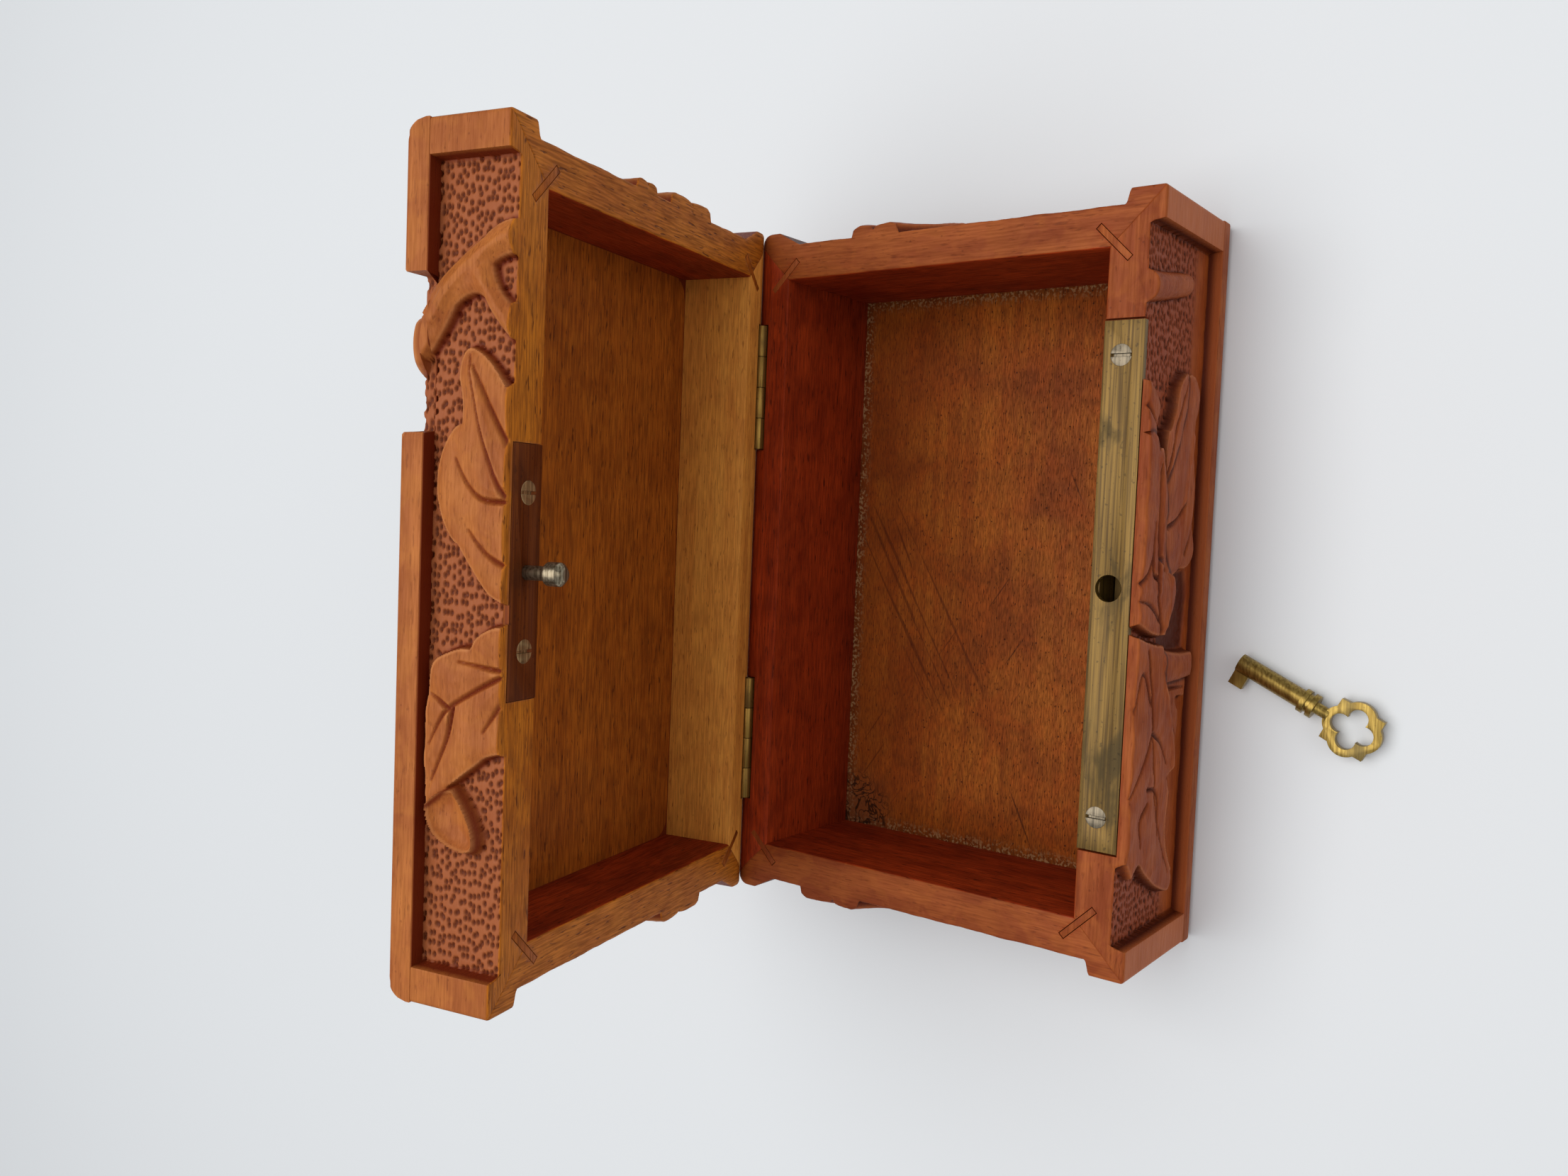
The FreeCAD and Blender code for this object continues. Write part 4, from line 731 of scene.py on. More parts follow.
# A carved wall: a fine outer face, rim, mitres and plain inner face; side is 0 for a front
def carvedWall(name, wall, lid, cutters):
    side = wall["side"]
    step = wall["step"]
    thick = box["wall"]
    sunk = box["ground"]
    rim = box["lidRim"] if lid else box["baseRim"]
    far = box["lidWallTop"] if lid else box["floor"]
    up = -1 if lid else 1
    front = side == 0
    halfLength = box["halfWidth"] if front else box["halfDepth"]
    edgeRound = wallEdges["rim"]
    rounds = (wallEdges["corner"], wallEdges["corner"] if front else box["backCorner"])
    slack = 1 - math.sqrt(0.5)
    start = -halfLength + rounds[0] * slack
    end = halfLength - rounds[1] * slack
    along = np.linspace(start, end, int((end - start) / step) + 1)
    rows = np.linspace(0, 1, int(abs(rim - far) / step) + 1)

    def rimAt(u):
        if front:
            return np.full_like(u, float(rim))
        return rim - up * roundDrop(box["rimRound"], box["halfDepth"] - u)

    def corner(values):
        return roundDrop(rounds[0], values + halfLength) + roundDrop(rounds[1], halfLength - values)

    def placed(u, depth, z):
        if front:
            return np.stack([u, depth - box["halfDepth"], z], -1)
        return np.stack([side * (box["halfWidth"] - depth), u, z], -1)

    # On the rim the columns run straight past the posts' inner sides, then close in with the mitres
    if front:
        postEdge = (halfLength - posts["front"], halfLength - posts["front"])
    else:
        postEdge = (halfLength - posts["end"] + posts["slope"],
                    halfLength - posts["back"] - posts["backSlope"])

    def onRim(u, depth):
        size = np.abs(u)
        edge = np.where(u < 0, *postEdge)
        last = np.where(u < 0, -start, end)
        mitre = np.minimum(last, halfLength - np.minimum(depth, sunk))
        size = np.where(size > edge, edge + (size - edge) * (mitre - edge) / (last - edge), size)
        closing = (halfLength - np.maximum(depth, sunk)) / (halfLength - sunk)
        return np.sign(u) * size * closing

    outerU = np.repeat(along[:, None], len(rows), 1)
    outerZ = far + (rimAt(along)[:, None] - up * edgeRound - far) * rows[None, :]
    spots = np.stack([outerU.ravel(), outerZ.ravel() - rim], 1)
    height, cut, ground = [values.reshape(outerU.shape) for values in reliefOf(spots, wall["carving"])]
    if front:
        post = rise(np.abs(outerU), postEdge[0] - posts["slope"], postEdge[0])
    else:
        slopeEnd = posts["end"] + posts["slope"] - halfLength
        post = np.maximum(1 - rise(outerU, -postEdge[0], slopeEnd),
                          np.clip((outerU - postEdge[1]) / posts["backSlope"], 0, 1))
    field = post < 0.02
    depth = sunk * (1 - post) - height * field
    depth = np.maximum(depth, 0.03 * (post < 1)) + corner(outerU)
    # Painted shade at the foot of the posts and on their sloping flanks
    foot = bell(post, 0.25, 0.25) * (post > 0)
    cut = np.maximum(cut * (post < 0.5), foot * 0.7)
    cut, worn = shadeAndPale(-standsOut(depth, int(0.9 / step)), cut)
    flank = (post > 0.02) * (post < 0.98)
    cut = np.maximum(cut, 0.9 * flank)
    # Paler on high places, and on the base's corner posts
    worn = np.where(field, worn, post * (0 if lid else 0.7)) * (1 - flank)

    across = np.array([0.012, 0.03, 0.06, 0.12, 0.24, 0.36, 0.48, 0.6, 0.72, 0.84, 0.93, 0.965, 0.985, 1])
    rimDepth = depth[:, -1:] + (thick - depth[:, -1:]) * across[None, :]
    rimU = onRim(np.repeat(along[:, None], len(across), 1), rimDepth)
    drop = roundDrop(edgeRound, np.minimum(rimDepth - depth[:, -1:], thick - rimDepth))
    fromMitre = np.minimum(np.arange(len(along)), np.arange(len(along))[::-1])[:, None] * step
    drop = drop + np.clip(wallEdges["mitre"] - fromMitre, 0, wallEdges["mitre"]) * 0.3
    drop = drop + 0.05 * ripple(np.stack([rimU.ravel(), rimDepth.ravel()], 1), 11, 3).reshape(drop.shape)
    rimZ = rimAt(rimU) - up * np.clip(drop, 0, edgeRound)

    outer = placed(outerU, depth, outerZ)
    strip = placed(rimU, rimDepth, rimZ)
    inner = np.array([-1, 1]) * (halfLength - thick)
    cornersFar = placed(inner, np.full(2, float(thick)), np.full(2, float(far)))
    points = np.vstack([outer.reshape(-1, 3), strip.reshape(-1, 3), cornersFar])
    outerIndex = np.arange(outerU.size).reshape(outerU.shape)
    stripIndex = outerU.size + np.arange(rimU.size).reshape(rimU.shape)
    stripIndex = np.hstack([outerIndex[:, -1:], stripIndex])
    farLeft = len(points) - 2
    farRight = len(points) - 1
    faces = gridFaces(outerIndex) + gridFaces(stripIndex)
    faces.append(outerIndex[:, 0].tolist() + [farRight, farLeft])
    faces.append(stripIndex[:, -1].tolist() + [farRight, farLeft])
    faces.append(outerIndex[0, :].tolist() + stripIndex[0, 1:].tolist() + [farLeft])
    faces.append(outerIndex[-1, :].tolist() + stripIndex[-1, 1:].tolist() + [farRight])
    rest = np.zeros(len(points) - outerU.size)
    carveAt = np.stack([outerU.ravel(), outerZ.ravel() - rim, np.zeros(outerU.size)], 1)
    rimSide = np.concatenate([np.tile((across > 0.97) + 1.0, len(along)), [2, 2]])
    layers = {"ground": (ground * field, rest), "cut": (cut, rest), "worn": (worn, rest),
              "inner": (np.zeros(outerU.size), rimSide)}
    return carvedPiece(name, points, faces, carveAt, layers, lid, 1.08, cutters)


# Base front: two lobed leaves with lobes folded over one another, their stalk, and a stalk end
baseFrontDesign = {
    "plainBelow": -27,
    "hollows": [
        {"outline": [(-13, -15), (-9, -14), (-4, -15), (0, -15), (3, -16), (3.6, -22), (4, -29),
            (-4, -30.5), (-13, -29.5), (-13.4, -22)],
         "depth": 0.45},
    ],
    "leaves": [
        {"outline": [(-36, -21), (-31, -26), (-25, -25.4), (-22.5, -24), (-22.4, -29), (-20, -29.6),
            (-18, -29), (-18, -22), (-16, -14), (-26, -16)],
         "edge": 0.9, "crown": 1.5,
         "veins": [[(-18, -15), (-25, -20), (-30, -25)], [(-20, -16), (-20.4, -28)]]},
        {"outline": [(-18.8, -14), (-18.6, -22), (-18.2, -29.8), (-15.5, -30.2), (-13.2, -29.6),
            (-13, -22), (-12, -14), (-15, -12)],
         "edge": 1.5, "crown": 2.3, "round": 0.8},
        {"outline": [(-8.6, 1), (-32, 1), (-50, 1), (-53, -1.1), (-55.5, -3), (-53.5, -6), (-54.5, -8),
            (-59, -15), (-62, -23), (-60.5, -25.3), (-57.5, -24.4), (-50, -20), (-43, -19.6), (-40, -19.6),
            (-38, -19), (-37.2, -21), (-36, -22.4), (-27, -19.5), (-16.5, -13.8), (-13, -14), (-11, -13),
            (-10.5, -8)],
         "edge": 1.7, "crown": 2.2,
         "veins": [[(-12, -6), (-22, -9), (-34, -11.5), (-46, -15), (-58, -23)],
            [(-28, -10.3), (-34, -6), (-39.5, -0.5)], [(-22, -8), (-16, -3.5), (-24, 0)],
            [(-42, -9), (-45, -5.8), (-50, -6.8)], [(-39, -9), (-40.5, -14), (-49, -15.5)],
            [(-28, -10.3), (-30.5, -14.5), (-35, -18.5)]],
         "folds": [[(-16.5, -14.6), (-25, -18), (-31, -21), (-36, -22)],
            [(-41, -20), (-49, -20.5), (-57, -24.5)]]},
        {"outline": [(2.4, -13), (2.6, -17), (3.8, -21.5), (5, -27), (9, -28.5), (20, -27.2), (29, -26),
            (40, -26.5), (42.4, -20), (36, -18.5), (21, -11), (12, -10)],
         "edge": 1.2, "crown": 1.9,
         "veins": [[(4, -21), (18, -22), (33, -26)], [(12, -13), (14, -18), (18, -22)],
            [(7, -23), (10, -25), (13, -27.5)]],
         "folds": [[(5, -20.5), (18, -21.2), (30, -24)]]},
        {"outline": [(21, -11), (26, -9.4), (30.5, -9.6), (32, -12), (35, -13.4), (40, -15), (42.5, -19.2),
            (40, -20), (35, -18.8), (27, -15)],
         "edge": 1.8, "crown": 2.4,
         "veins": [[(22, -11), (31, -13.6), (41, -19)]]},
        {"outline": [(31, 1), (35, 1), (39.5, 1), (37.8, -3.2), (35, -6), (33, -5.8), (28.4, -4.6),
            (29, -1.5)],
         "edge": 1.3, "crown": 1.9,
         "veins": [[(36, 1), (33, -2), (31, -5)]],
         "slope": (-0.05, 0.05)},
        {"outline": [(-5.8, 1), (12, 1), (28.5, 1), (29.5, -3), (26.5, -5.6), (27, -7.4), (24.5, -8.8),
            (20, -10.5), (15, -11.4), (8, -11.6), (3.5, -14), (2.4, -16), (0, -18.4), (-3, -17.2),
            (-5, -15.4), (-6.5, -14.6), (-9, -14.4), (-8.5, -7)],
         "edge": 1.7, "crown": 2.3,
         "veins": [[(-8.5, -12.5), (-2, -8.8), (8, -7.4), (24, -6)], [(2, -8), (4, -5), (13, -5.4)],
            [(1, 0), (4, -3.6), (10, -5.6)], [(-6, -10), (-3, -5), (-2, 0)],
            [(6, -8), (4, -11.5), (3.5, -13)]],
         "folds": [[(0, -8.8), (9, -8.6), (18, -8.2), (25, -6)], [(-7, -14), (-2, -15.6), (2, -15.6)]]},
    ],
    "stems": [
        {"path": [(56.2, 3), (57.4, -6), (59.6, -18)], "width": (3.1, 2.3), "height": 2.3},
    ],
}
# Lid front: a leaf with a curled tip, a long leaf and a forked stalk that climbs over the top's edge
lidFrontDesign = {
    "leaves": [
        {"outline": [(-40, 14.6), (-45, 12.8), (-47.4, 7), (-46.8, 4.8), (-44.5, 4.6), (-41, 6), (-37, 9),
            (-38, 12)],
         "edge": 2.5, "crown": 0.5, "round": 1.3},
        {"outline": [(-30, -1), (-20, -1), (-9, -1), (-9.4, 2.5), (-11.5, 5.6), (-12.4, 6), (-13, 6.4),
            (-13.2, 9), (-14.4, 12), (-15.4, 13.6), (-17, 14.4), (-28, 15.6), (-40.4, 15), (-36.5, 10),
            (-32, 4.2), (-30.8, 2.4)],
         "edge": 1.5, "crown": 2.2,
         "veins": [[(-16.5, -1.5), (-20, 5), (-23.4, 10.4), (-26.5, 12.8), (-29.8, 14.6)],
            [(-23.4, 10.4), (-22, 12.6), (-21.2, 14.4)], [(-23.2, 9.6), (-29, 10.8), (-36, 14)],
            [(-20, -1), (-23.4, 1), (-26.8, 3.3)], [(-16.4, -1), (-15.8, 4), (-15.3, 8.6)]],
         "slope": (0.01, 0.02)},
        {"outline": [(-5.5, -1), (12, -1), (28.5, -1), (31.5, 1.2), (34, 3.2), (36, 5.6), (37, 8),
            (35.6, 9.6), (32, 10.2), (28, 9.4), (24.4, 9.4), (23.6, 11), (21, 12.8), (16.5, 14.2),
            (11.5, 14), (6.5, 12), (4.2, 9.6), (-1, 5.6), (-3.8, 3), (-4.8, 1)],
         "edge": 1.4, "crown": 2.2,
         "veins": [[(10, -1), (19, 3.6), (28, 6.6), (35.8, 8)],
            [(11.6, 0), (12, 4.5), (14.4, 7.6), (18.6, 10.2)], [(0.6, -1), (3, 3.5), (6.8, 7.2)],
            [(21, 0), (27.5, 3.6), (34, 7)]],
         "folds": [[(14, 1.2), (22, 4), (33, 7.2)]]},
        {"outline": [(37, -1), (41, 2.6), (45, 5.5), (45.8, 8.2), (44, 11.5), (37.2, 15.8), (31, 21),
            (36, 22.5), (41, 21.5), (48.8, 14.6), (55, 6), (57, 3), (57.8, -1), (55, -1), (52.2, -1),
            (51.6, 2), (50.5, 4), (46.5, 2.6), (43, -1), (40, -1)],
         "edge": 0.9, "crown": 2.4, "round": 1.9,
         "folds": [[(55, 0), (52, 6), (48, 11.5), (42, 16)], [(40, 0.5), (45, 4.6), (49, 6)]]},
    ],
}
# The ends: a lobed leaf on each, and a leaf tip on the lid's right end
baseLeftDesign = {
    "leaves": [
        {"outline": [(27, 1), (20, 1), (13, 1), (9, -4), (3, -5), (4, -9), (8, -12), (2, -16), (-3, -23),
            (4, -23), (11, -20), (14, -24), (19, -28), (21, -22), (22, -17), (28, -16), (33, -17),
            (31, -12), (27, -9), (28, -5)],
         "edge": 1.2, "crown": 2.5,
         "veins": [[(19, 0), (17, -8), (18, -17), (19, -27)], [(17, -8), (11, -7), (5, -6)],
            [(17.5, -12), (9, -16), (0, -22)], [(17.5, -11), (24, -12), (31, -16)]]},
    ],
}
baseRightDesign = {
    "leaves": [
        {"outline": [(20, 1), (16, 1), (11, 1), (6, -3), (-4, -5), (-1, -9), (3, -12), (-3, -18),
            (-6, -25), (2, -23), (8, -20), (12, -24), (17, -27), (18, -22), (18, -17), (24, -16),
            (30, -18), (27, -11), (21, -8), (22, -4)],
         "edge": 1.2, "crown": 2.5,
         "veins": [[(16, 0), (13, -8), (14, -17), (17, -26)], [(13, -8), (6, -6), (-3, -6)],
            [(13.5, -12), (5, -17), (-4, -24)], [(13.5, -11), (20, -12), (28, -17)]]},
    ],
}
lidLeftDesign = {
    "leaves": [
        {"outline": [(24, -1), (17, -1), (9, -1), (6, 4), (0, 6), (4, 9), (8, 11), (8, 13), (10, 15.5),
            (15, 15.2), (20, 15.5), (22, 11), (26, 8), (25, 4)],
         "edge": 1.2, "crown": 2.5,
         "veins": [[(16, 0), (14, 7), (15, 15)], [(14.5, 5), (8, 6), (2, 6.5)],
            [(14.5, 8), (20, 9), (25, 8)]]},
    ],
}
lidRightDesign = {
    "leaves": [
        {"outline": [(18, -1), (11, -1), (3, -1), (1, 4), (-4, 7), (1, 9), (4, 11), (5, 13), (8, 15.5),
            (13, 15.2), (18, 15.5), (19, 11), (23, 8), (20, 4)],
         "edge": 1.2, "crown": 2.5,
         "veins": [[(11, 0), (10, 7), (13, 15)], [(10, 5), (4, 6), (-2, 7)],
            [(10.5, 8), (16, 9), (22, 8)]]},
        {"outline": [(-3, -1), (-6, -1), (-10, -1), (-11, 5), (-15, 9), (-11, 8), (-7, 6), (-4, 3)],
         "edge": 1.0, "crown": 2.2,
         "veins": [[(-6, 0), (-8, 4), (-13, 8)]]},
    ],
}
# The top: three lobed leaves and a small one on a branching stalk
topDesign = {
    "leaves": [
        {"outline": [(19, -17), (10, -22), (4, -30), (-2, -25), (-5, -18), (-14, -22), (-25, -22),
            (-21, -14), (-14, -8), (-20, -2), (-23, 8), (-14, 7), (-6, 3), (-3, 10), (3, 17), (7, 9),
            (8, 1), (16, 0), (24, 3), (20, -4), (16, -10), (19, -13)],
         "edge": 1.0, "crown": 2.2,
         "veins": [[(18, -15), (4, -10), (-8, -6), (-20, 6)], [(8, -11), (5, -20), (4, -28)],
            [(2, -9), (-8, -15), (-22, -20)], [(2, -8), (4, 4), (3, 14)], [(8, -10), (15, -5), (22, 1)]]},
        {"outline": [(-30, -12), (-38, -18), (-44, -27), (-48, -20), (-49, -13), (-56, -13), (-62, -9),
            (-57, -4), (-50, -2), (-52, 6), (-51, 15), (-43, 11), (-37, 5), (-31, 9), (-25, 12), (-25, 4),
            (-28, -2), (-28, -8)],
         "edge": 1.0, "crown": 2.2,
         "veins": [[(-28, -8), (-38, -5), (-48, -6), (-60, -9)], [(-36, -5), (-41, -14), (-44, -25)],
            [(-40, -5), (-46, 3), (-50, 13)], [(-34, -6), (-31, 2), (-27, 10)]]},
        {"outline": [(34, -10), (40, -14), (42, -22), (48, -17), (51, -11), (57, -12), (63, -10), (60, -4),
            (54, 0), (58, 7), (60, 16), (51, 13), (45, 8), (40, 14), (33, 18), (33, 10), (35, 3), (31, -1),
            (27, -2), (31, -5)],
         "edge": 1.0, "crown": 2.2,
         "veins": [[(29, -3), (40, -4), (50, -6), (61, -9)], [(40, -4), (42, -12), (42, -20)],
            [(42, -4), (52, 6), (58, 14)], [(38, -3), (37, 6), (34, 16)]]},
        {"outline": [(-10, 20), (-18, 17), (-26, 20), (-24, 26), (-20, 30), (-13, 30), (-6, 34), (-3, 29),
            (-3, 24), (-6, 21)],
         "edge": 1.0, "crown": 2.0,
         "veins": [[(-4, 31), (-13, 25), (-25, 21)]]},
    ],
    "stems": [
        {"path": [(39.5, -52), (37.6, -46), (33.5, -40), (29, -33), (23, -25), (15, -17), (6, -12)],
            "width": (4.5, 1.8), "height": 1.9},
        {"path": [(26, -29), (27, -16), (26, -3)], "width": (1.9, 1.3), "height": 1.8},
        {"path": [(6, -12), (-10, -10), (-28, -8)], "width": (1.6, 1.2), "height": 1.8},
        {"path": [(3, 14), (0, 22), (-5, 32)], "width": (1.3, 1), "height": 1.6},
    ],
}


# The top board: crisp front edge, rounded ends and back, a sunk carved field that opens to the front
topBorder = {"width": 6.2, "sunk": 2.4, "gapStart": 23, "gapEnd": 49.5, "slant": 2.5, "edgeRound": 4}


def carvedTop(name, design):
    step = 0.4
    halfWidth = box["halfWidth"]
    halfDepth = box["halfDepth"]
    backCorner = box["backCorner"]
    border = topBorder["width"]
    rows = np.linspace(-halfDepth, halfDepth, int(2 * halfDepth / step))
    columns = np.linspace(-1, 1, int(2 * halfWidth / step))
    half = halfWidth - roundDrop(backCorner, halfDepth - rows)
    x = columns[:, None] * half[None, :]
    y = np.repeat(rows[None, :], len(columns), 0)

    def gapAt(x, inward):
        slant = np.clip(inward / border, 0, 1) * topBorder["slant"]
        start = topBorder["gapStart"] - slant
        end = topBorder["gapEnd"] + slant
        return rise(x, start - 0.2, start + 0.3) * (1 - rise(x, end - 0.3, end + 0.2))

    def stalkAt(x, down):
        left = 32.6 + 1.3 * down
        right = 43.4 + 1.35 * down
        return rise(x, left - 0.4, left + 2.4) * (1 - rise(x, right - 2.4, right + 0.4))

    # In the opening the front edge lies back at the carved ground, but for the stalk
    def setBack(gap, stalk):
        return box["ground"] * gap * (1 - 0.8 * stalk)

    inward = y + halfDepth
    y = y + setBack(gapAt(x, 0), stalkAt(x, 0)) * np.clip(1 - inward / border, 0, 1)
    cornerX = np.abs(x) - (halfWidth - backCorner)
    cornerY = y - (halfDepth - backCorner)
    inCorner = (cornerX > 0) & (cornerY > 0)
    edge = np.minimum(halfWidth - np.abs(x), halfDepth - y)
    edge = np.clip(np.where(inCorner, backCorner - np.hypot(cornerX, cornerY), edge), 0, None)
    gap = gapAt(x, inward) * (inward < border + 1)
    frontRound = 0.6 + 2 * gapAt(x, 0) * stalkAt(x, 0)
    drop = np.maximum(roundDrop(topBorder["edgeRound"], edge), roundDrop(frontRound, inward))
    field = np.minimum(rise(halfWidth - border - np.abs(x), 0, 0.5),
                       rise(halfDepth - border - np.abs(y), 0, 0.5))
    field = np.maximum(field, gap)
    relief = reliefOf(np.stack([x.ravel(), y.ravel()], 1), design)
    height, cut, ground = [values.reshape(x.shape) for values in relief]
    z = box["lidTop"] - drop + field * (height - topBorder["sunk"])
    ground = ground * (field > 0.95)
    # Painted shade at the foot of the border
    foot = bell(field, 0.75, 0.2) * (field < 0.999)
    cut, worn = shadeAndPale(standsOut(z, 2), np.maximum(cut * (field > 0.5), foot * 0.7))

    # The front face, from the underside up to the top's first row
    bevel = 0.2
    low = box["lidWallTop"] + bevel
    faceRows = 12
    share = (np.arange(faceRows) / faceRows)[None, :]
    faceZ = low + (z[:, :1] - low) * share
    faceX = np.repeat(x[:, :1], faceRows, 1)
    down = box["lidTop"] - topBorder["sunk"] - faceZ
    faceGap = gapAt(faceX, 0)
    faceStalk = stalkAt(faceX, down)
    faceY = -halfDepth + setBack(faceGap, faceStalk)
    faceGround = faceGap * (faceGap > 0.95) * (faceStalk < 0.05)
    # Painted shade along the edges of the opening and beside the stalk
    gapEdge = bell(faceGap, 0.7, 0.2) * (faceGap < 0.99)
    faceCut = 0.6 * gapEdge + 0.6 * faceGap * bell(faceStalk, 0.15, 0.1)
    pairs = ((faceX, x), (faceY, y), (faceZ, z), (faceGround, ground), (faceCut, cut),
             (np.zeros_like(faceX), worn))
    x, y, z, ground, cut, worn = [np.hstack(pair) for pair in pairs]
    carveY = np.hstack([-halfDepth - down, y[:, faceRows:]])

    top = np.stack([x, y, z], -1)
    index = np.arange(x.size).reshape(x.shape)
    last = x.shape[1] - 1
    faces = gridFaces(index)
    upper = np.concatenate([index[-1, faceRows + 1:], index[-2::-1, last], index[0, last - 1:faceRows:-1]])
    lower = top.reshape(-1, 3)[upper].copy()
    lower[:, 2] = low
    lowerIndex = x.size + np.arange(len(upper))
    faces += np.stack([upper[:-1], upper[1:], lowerIndex[1:], lowerIndex[:-1]], -1).tolist()
    faces.append(index[-1, :faceRows + 1].tolist() + [int(upper[0]), int(lowerIndex[0])])
    faces.append(index[0, :faceRows + 1].tolist() + [int(upper[-1]), int(lowerIndex[-1])])

    # The underside: a narrow bevel, then the overhang outside the walls, painted dark as shade
    def drawnIn(ring, amount):
        return ring * np.array([1 - amount / halfWidth, 1 - amount / halfDepth, 1])

    ring = np.concatenate([index[:, 0], lowerIndex])
    bottom = drawnIn(np.vstack([top[:, 0], lower]), bevel)
    bottom[:, 2] = box["lidWallTop"]
    within = drawnIn(bottom, box["wall"])
    bottomIndex = x.size + len(lower) + np.arange(len(ring))
    withinIndex = bottomIndex + len(ring)
    for outerRing, innerRing in ((ring, bottomIndex), (bottomIndex, withinIndex)):
        sides = [outerRing, np.roll(outerRing, -1), np.roll(innerRing, -1), innerRing]
        faces += np.stack(sides, -1).tolist()
    faces.append(withinIndex.tolist())
    points = np.vstack([top.reshape(-1, 3), lower, bottom, within])
    rest = np.zeros(len(lower) + 2 * len(bottom))
    overhang = np.concatenate([np.zeros(len(lower)), np.full(2 * len(bottom), 0.9)])
    carveAt = np.stack([x.ravel(), carveY.ravel(), x.ravel() * 0], 1)
    layers = {"ground": (ground, rest), "cut": (cut, overhang), "worn": (worn, rest),
              "inner": (np.zeros(x.size), rest)}
    return carvedPiece(name, points, faces, carveAt, layers, True, 1.25, None)


item = carvedTop("lidTopCarved", topDesign)
grainPlaces(item.data, True, "x", 83)
hand(item, [lidWood, goldLitWood], ["lid_top_board"], "lid")
# The top's large inner face takes the gold lit copy, painted light
plainFaceSides = 60
for polygon in item.data.polygons:
    polygon.material_index = int(polygon.loop_total > plainFaceSides)
print("stage: lidTopCarved", len(item.data.polygons))

# Seats in the fronts: face plate, lock plate, lock cap and keyhole in the base, strike plate in the lid
frontCuts = {
    False: [((-50.9, -45.8, 36.5), (50.9, -37, 39)), ((-23.05, -38.9, 10.75), (23.05, -37, 37)),
            ((-20.05, -44.35, 13.7), (20.05, -38.5, 37)), ((-1, -49, 13.8), (1, -44, 19)),
            ((-1.9, -49, 17.4), (1.9, -44, 20.9))],
    True: [((-21.7, -45.8, 37), (21.7, -37, 39.4))],
}
# Carved walls: the side of the box (0 at the front), the grid's step and where the grain is read
walls = {
    "baseFrontCarved": {"carving": baseFrontDesign, "side": 0, "step": 0.25, "grain": 3},
    "lidFrontCarved": {"carving": lidFrontDesign, "side": 0, "step": 0.2, "grain": 17},
    "baseLeftCarved": {"carving": baseLeftDesign, "side": -1, "step": 0.26, "grain": 29},
    "baseRightCarved": {"carving": baseRightDesign, "side": 1, "step": 0.26, "grain": 41},
    "lidLeftCarved": {"carving": lidLeftDesign, "side": -1, "step": 0.23, "grain": 53},
    "lidRightCarved": {"carving": lidRightDesign, "side": 1, "step": 0.23, "grain": 67},
}
sideNames = {-1: "left", 0: "front", 1: "right"}
for name, wall in walls.items():
    side = wall["side"]
    lid = name.startswith("lid")
    body = "lid" if lid else "base"
    corners = [(side, -1), (side, 1)] if side else [(-1, -1), (1, -1)]
    cutters = tongueSlots(corners, lid)
    if not side:
        cutters += [block(low, high, lid) for low, high in frontCuts[lid]]
    item = carvedWall(name, wall, lid, cutters)
    grainPlaces(item.data, lid, "y" if side else "x", wall["grain"])
    hand(item, [lidWood if lid else baseShadedWood], [f"{body}_{sideNames[side]}_wall"], body)
    print("stage:", name, len(item.data.polygons))


# Plain boards and hardware
def facing(item, lid, wanted):
    turn = Matrix.Rotation(math.radians(box["opening"] if lid else 0), 3, "X")
    for polygon in item.data.polygons:
        if wanted(turn @ polygon.normal):
            polygon.material_index = 1


boards = [
    ("base_back_wall", [rimWood, insideWood], "base", lambda way: way.y < -0.7 or way.z > 0.7),
    ("base_bottom_board", [rimWood, floorWood], "base", lambda way: way.z > 0.7),
    # The lid back wall's inner face takes the pale lit copy, painted light
    ("lid_back_wall", [outerWood, paleLitWood], "lid", lambda way: way.y < -0.7 or way.z < -0.7),
]
for index, (node, materials, body, wanted) in enumerate(boards):
    item = softened(node, 0.3, body == "lid", index * pieceShift)
    hand(item, materials, [node], body)
    facing(item, body == "lid", wanted)
parts = ("base", "lid")
sides = ("left", "right")
hardware = [
    ("lock_face_plate", 0.12, faceBrass, "base", "lock_brass"),
    ("lock_back_plate", 0.12, faceBrass, "base", "lock_brass"),
    ("lock_face_screws", 0.05, steel, "base", "screw_steel"),
    ("strike_plate", 0.12, darkBrass, "lid", "lock_brass"),
    ("strike_screws", 0.05, screwBrass, "lid", "screw_steel"),
    ("strike_stud", 0.15, studMetal, "lid", "lock_brass"),
]
for part in parts:
    hardware += [(f"hinge_{side}_{part}_leaf", 0.08, hingeBrass, part, "hinge_brass") for side in sides]
hardware += [(f"{part}_hinge_nails", 0.1, hingeBrass, part, "hinge_brass") for part in parts]
hardware.append(("key", 0.2, keyBrass, "key", "key_brass"))
for index, (node, width, material, body, slot) in enumerate(hardware):
    item = softened(node, width, body == "lid", index * pieceShift)
    hand(item, [material], [node], body)
for part in parts:
    for end in ("front", "back"):
        for side in sides:
            node = f"{part}_spline_{end}_{side}"
            item = softened(node, 0.03, part == "lid", 5)
            hand(item, [rimWood if part == "base" else goldLitWood], [node], part)
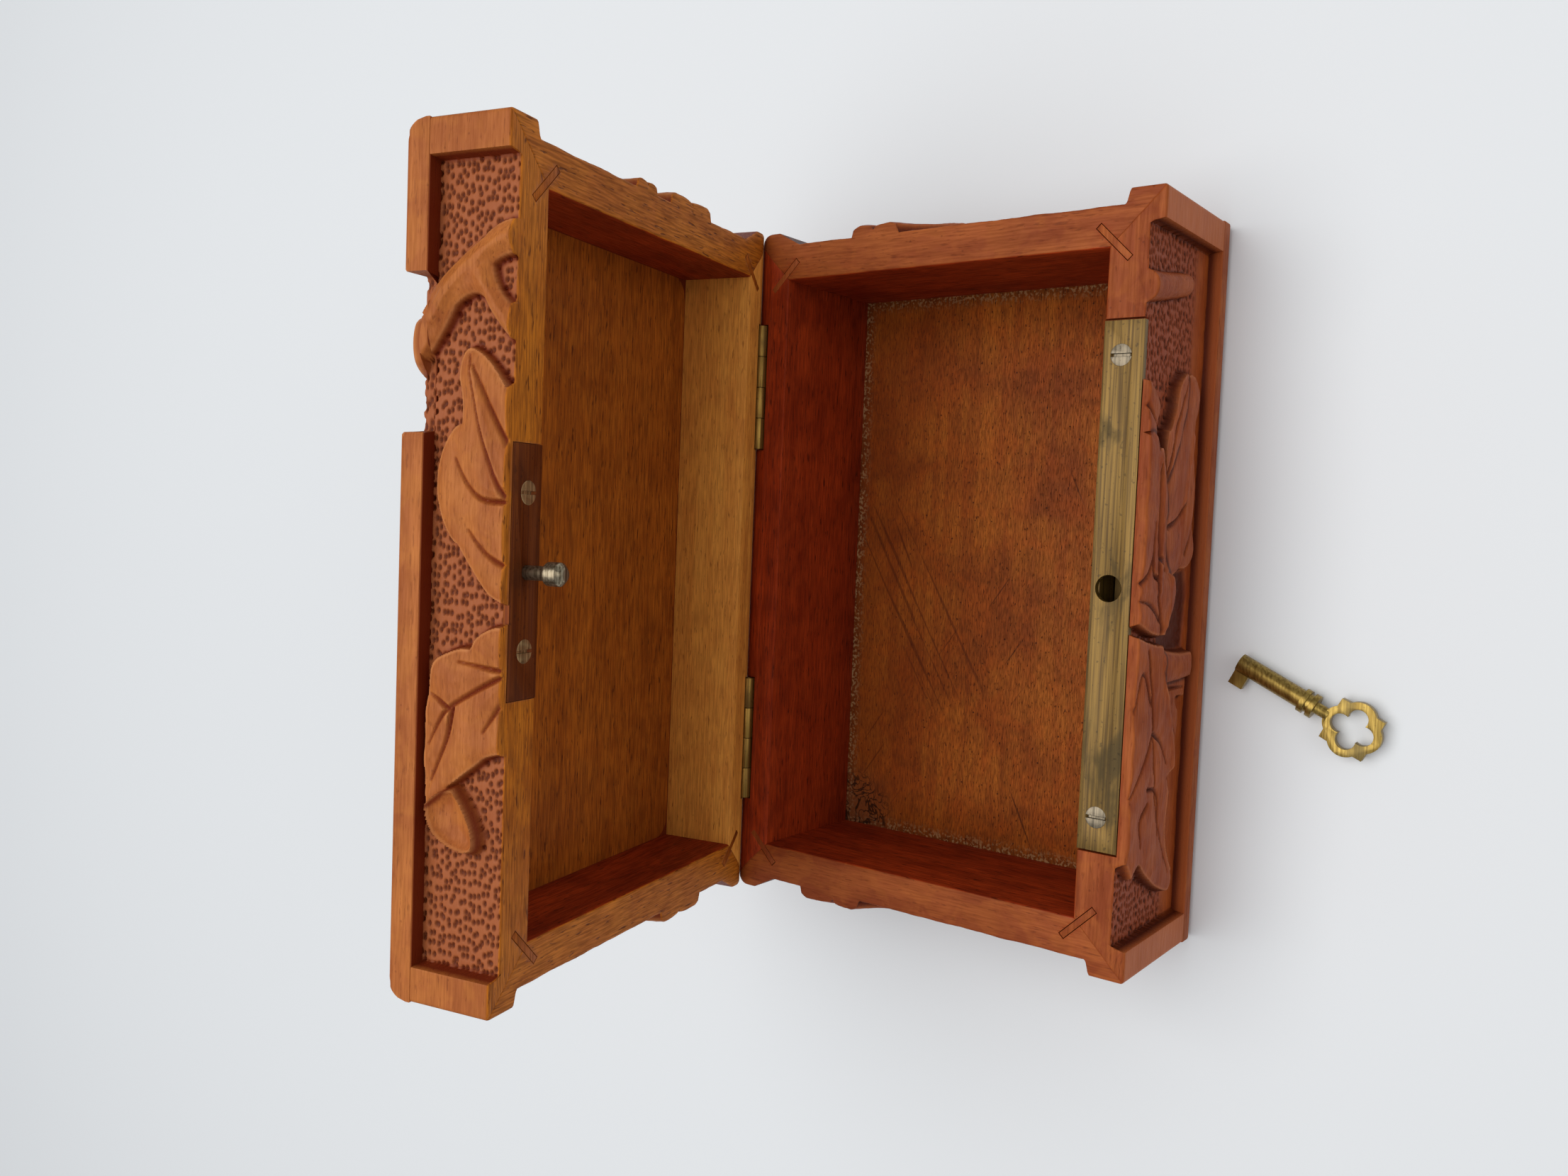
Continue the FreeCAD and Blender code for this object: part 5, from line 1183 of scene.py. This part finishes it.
# Hidden pieces keep their own mesh
hidden = {
    "hinge_left_pin": hingeBrass, "hinge_right_pin": hingeBrass, "lock_cap": faceBrass,
    "lock_drill_pin": steel, "lock_bolt": faceBrass, "bolt_spring": steel,
}
for node, material in hidden.items():
    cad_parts[node].data.materials.clear()
    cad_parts[node].data.materials.append(material)
print("stage: boards and hardware")

# Table, light and camera
floorMesh = bpy.data.meshes.new("table")
floorMesh.from_pydata([(-3, -3, 0), (3, -3, 0), (3, 3, 0), (-3, 3, 0)], [], [(0, 1, 2, 3)])
floor = newObject("table", floorMesh)
floorPaint, _, floorShader = newMaterial("tablePaint")
floorShader.inputs["Base Color"].default_value = tone(226, 229, 231)
floorShader.inputs["Roughness"].default_value = 0.6
floorMesh.materials.append(floorPaint)


def areaLight(name, place, target, width, power, colour):
    data = bpy.data.lights.new(name, "AREA")
    data.shape = "DISK"
    data.size = width
    data.energy = power
    data.color = colour
    item = newObject(name, data)
    item.location = place
    item.rotation_euler = (Vector(target) - Vector(place)).to_track_quat("-Z", "Y").to_euler()


areaLight("skyLight", (0.1, 0.22, 1.2), (0, 0, 0.05), 1.3, 12, (1, 0.985, 0.97))
areaLight("frontFill", (0.2, -1.2, 0.8), (0, 0, 0.06), 0.9, 2.5, (1, 0.97, 0.92))
world = bpy.data.worlds.new("studio")
world.use_nodes = True
sky = world.node_tree.nodes["Background"]
sky.inputs["Color"].default_value = tone(236, 240, 246)
sky.inputs["Strength"].default_value = 0.42
bpy.context.scene.world = world

cameraView = {
    "centre": (0.011042, -0.133688, 0.263728), "forward": (-0.05669, 0.59907, -0.79869),
    "right": (0.04017, -0.79796, -0.60137), "down": (-0.99758, -0.06618, 0.02118), "lens": 28.593,
}
cameraData = bpy.data.cameras.new("photoCamera")
cameraData.sensor_width = 36
cameraData.sensor_fit = "HORIZONTAL"
cameraData.lens = cameraView["lens"]
cameraData.clip_start = 0.005
camera = newObject("photoCamera", cameraData)
right = Vector(cameraView["right"])
up = -Vector(cameraView["down"])
back = -Vector(cameraView["forward"])
turn = Matrix((right, up, back)).transposed().to_4x4()
camera.matrix_world = Matrix.Translation(cameraView["centre"]) @ turn
bpy.context.scene.camera = camera
bpy.context.scene.view_settings.view_transform = "Standard"
print("stage: table, light and camera")
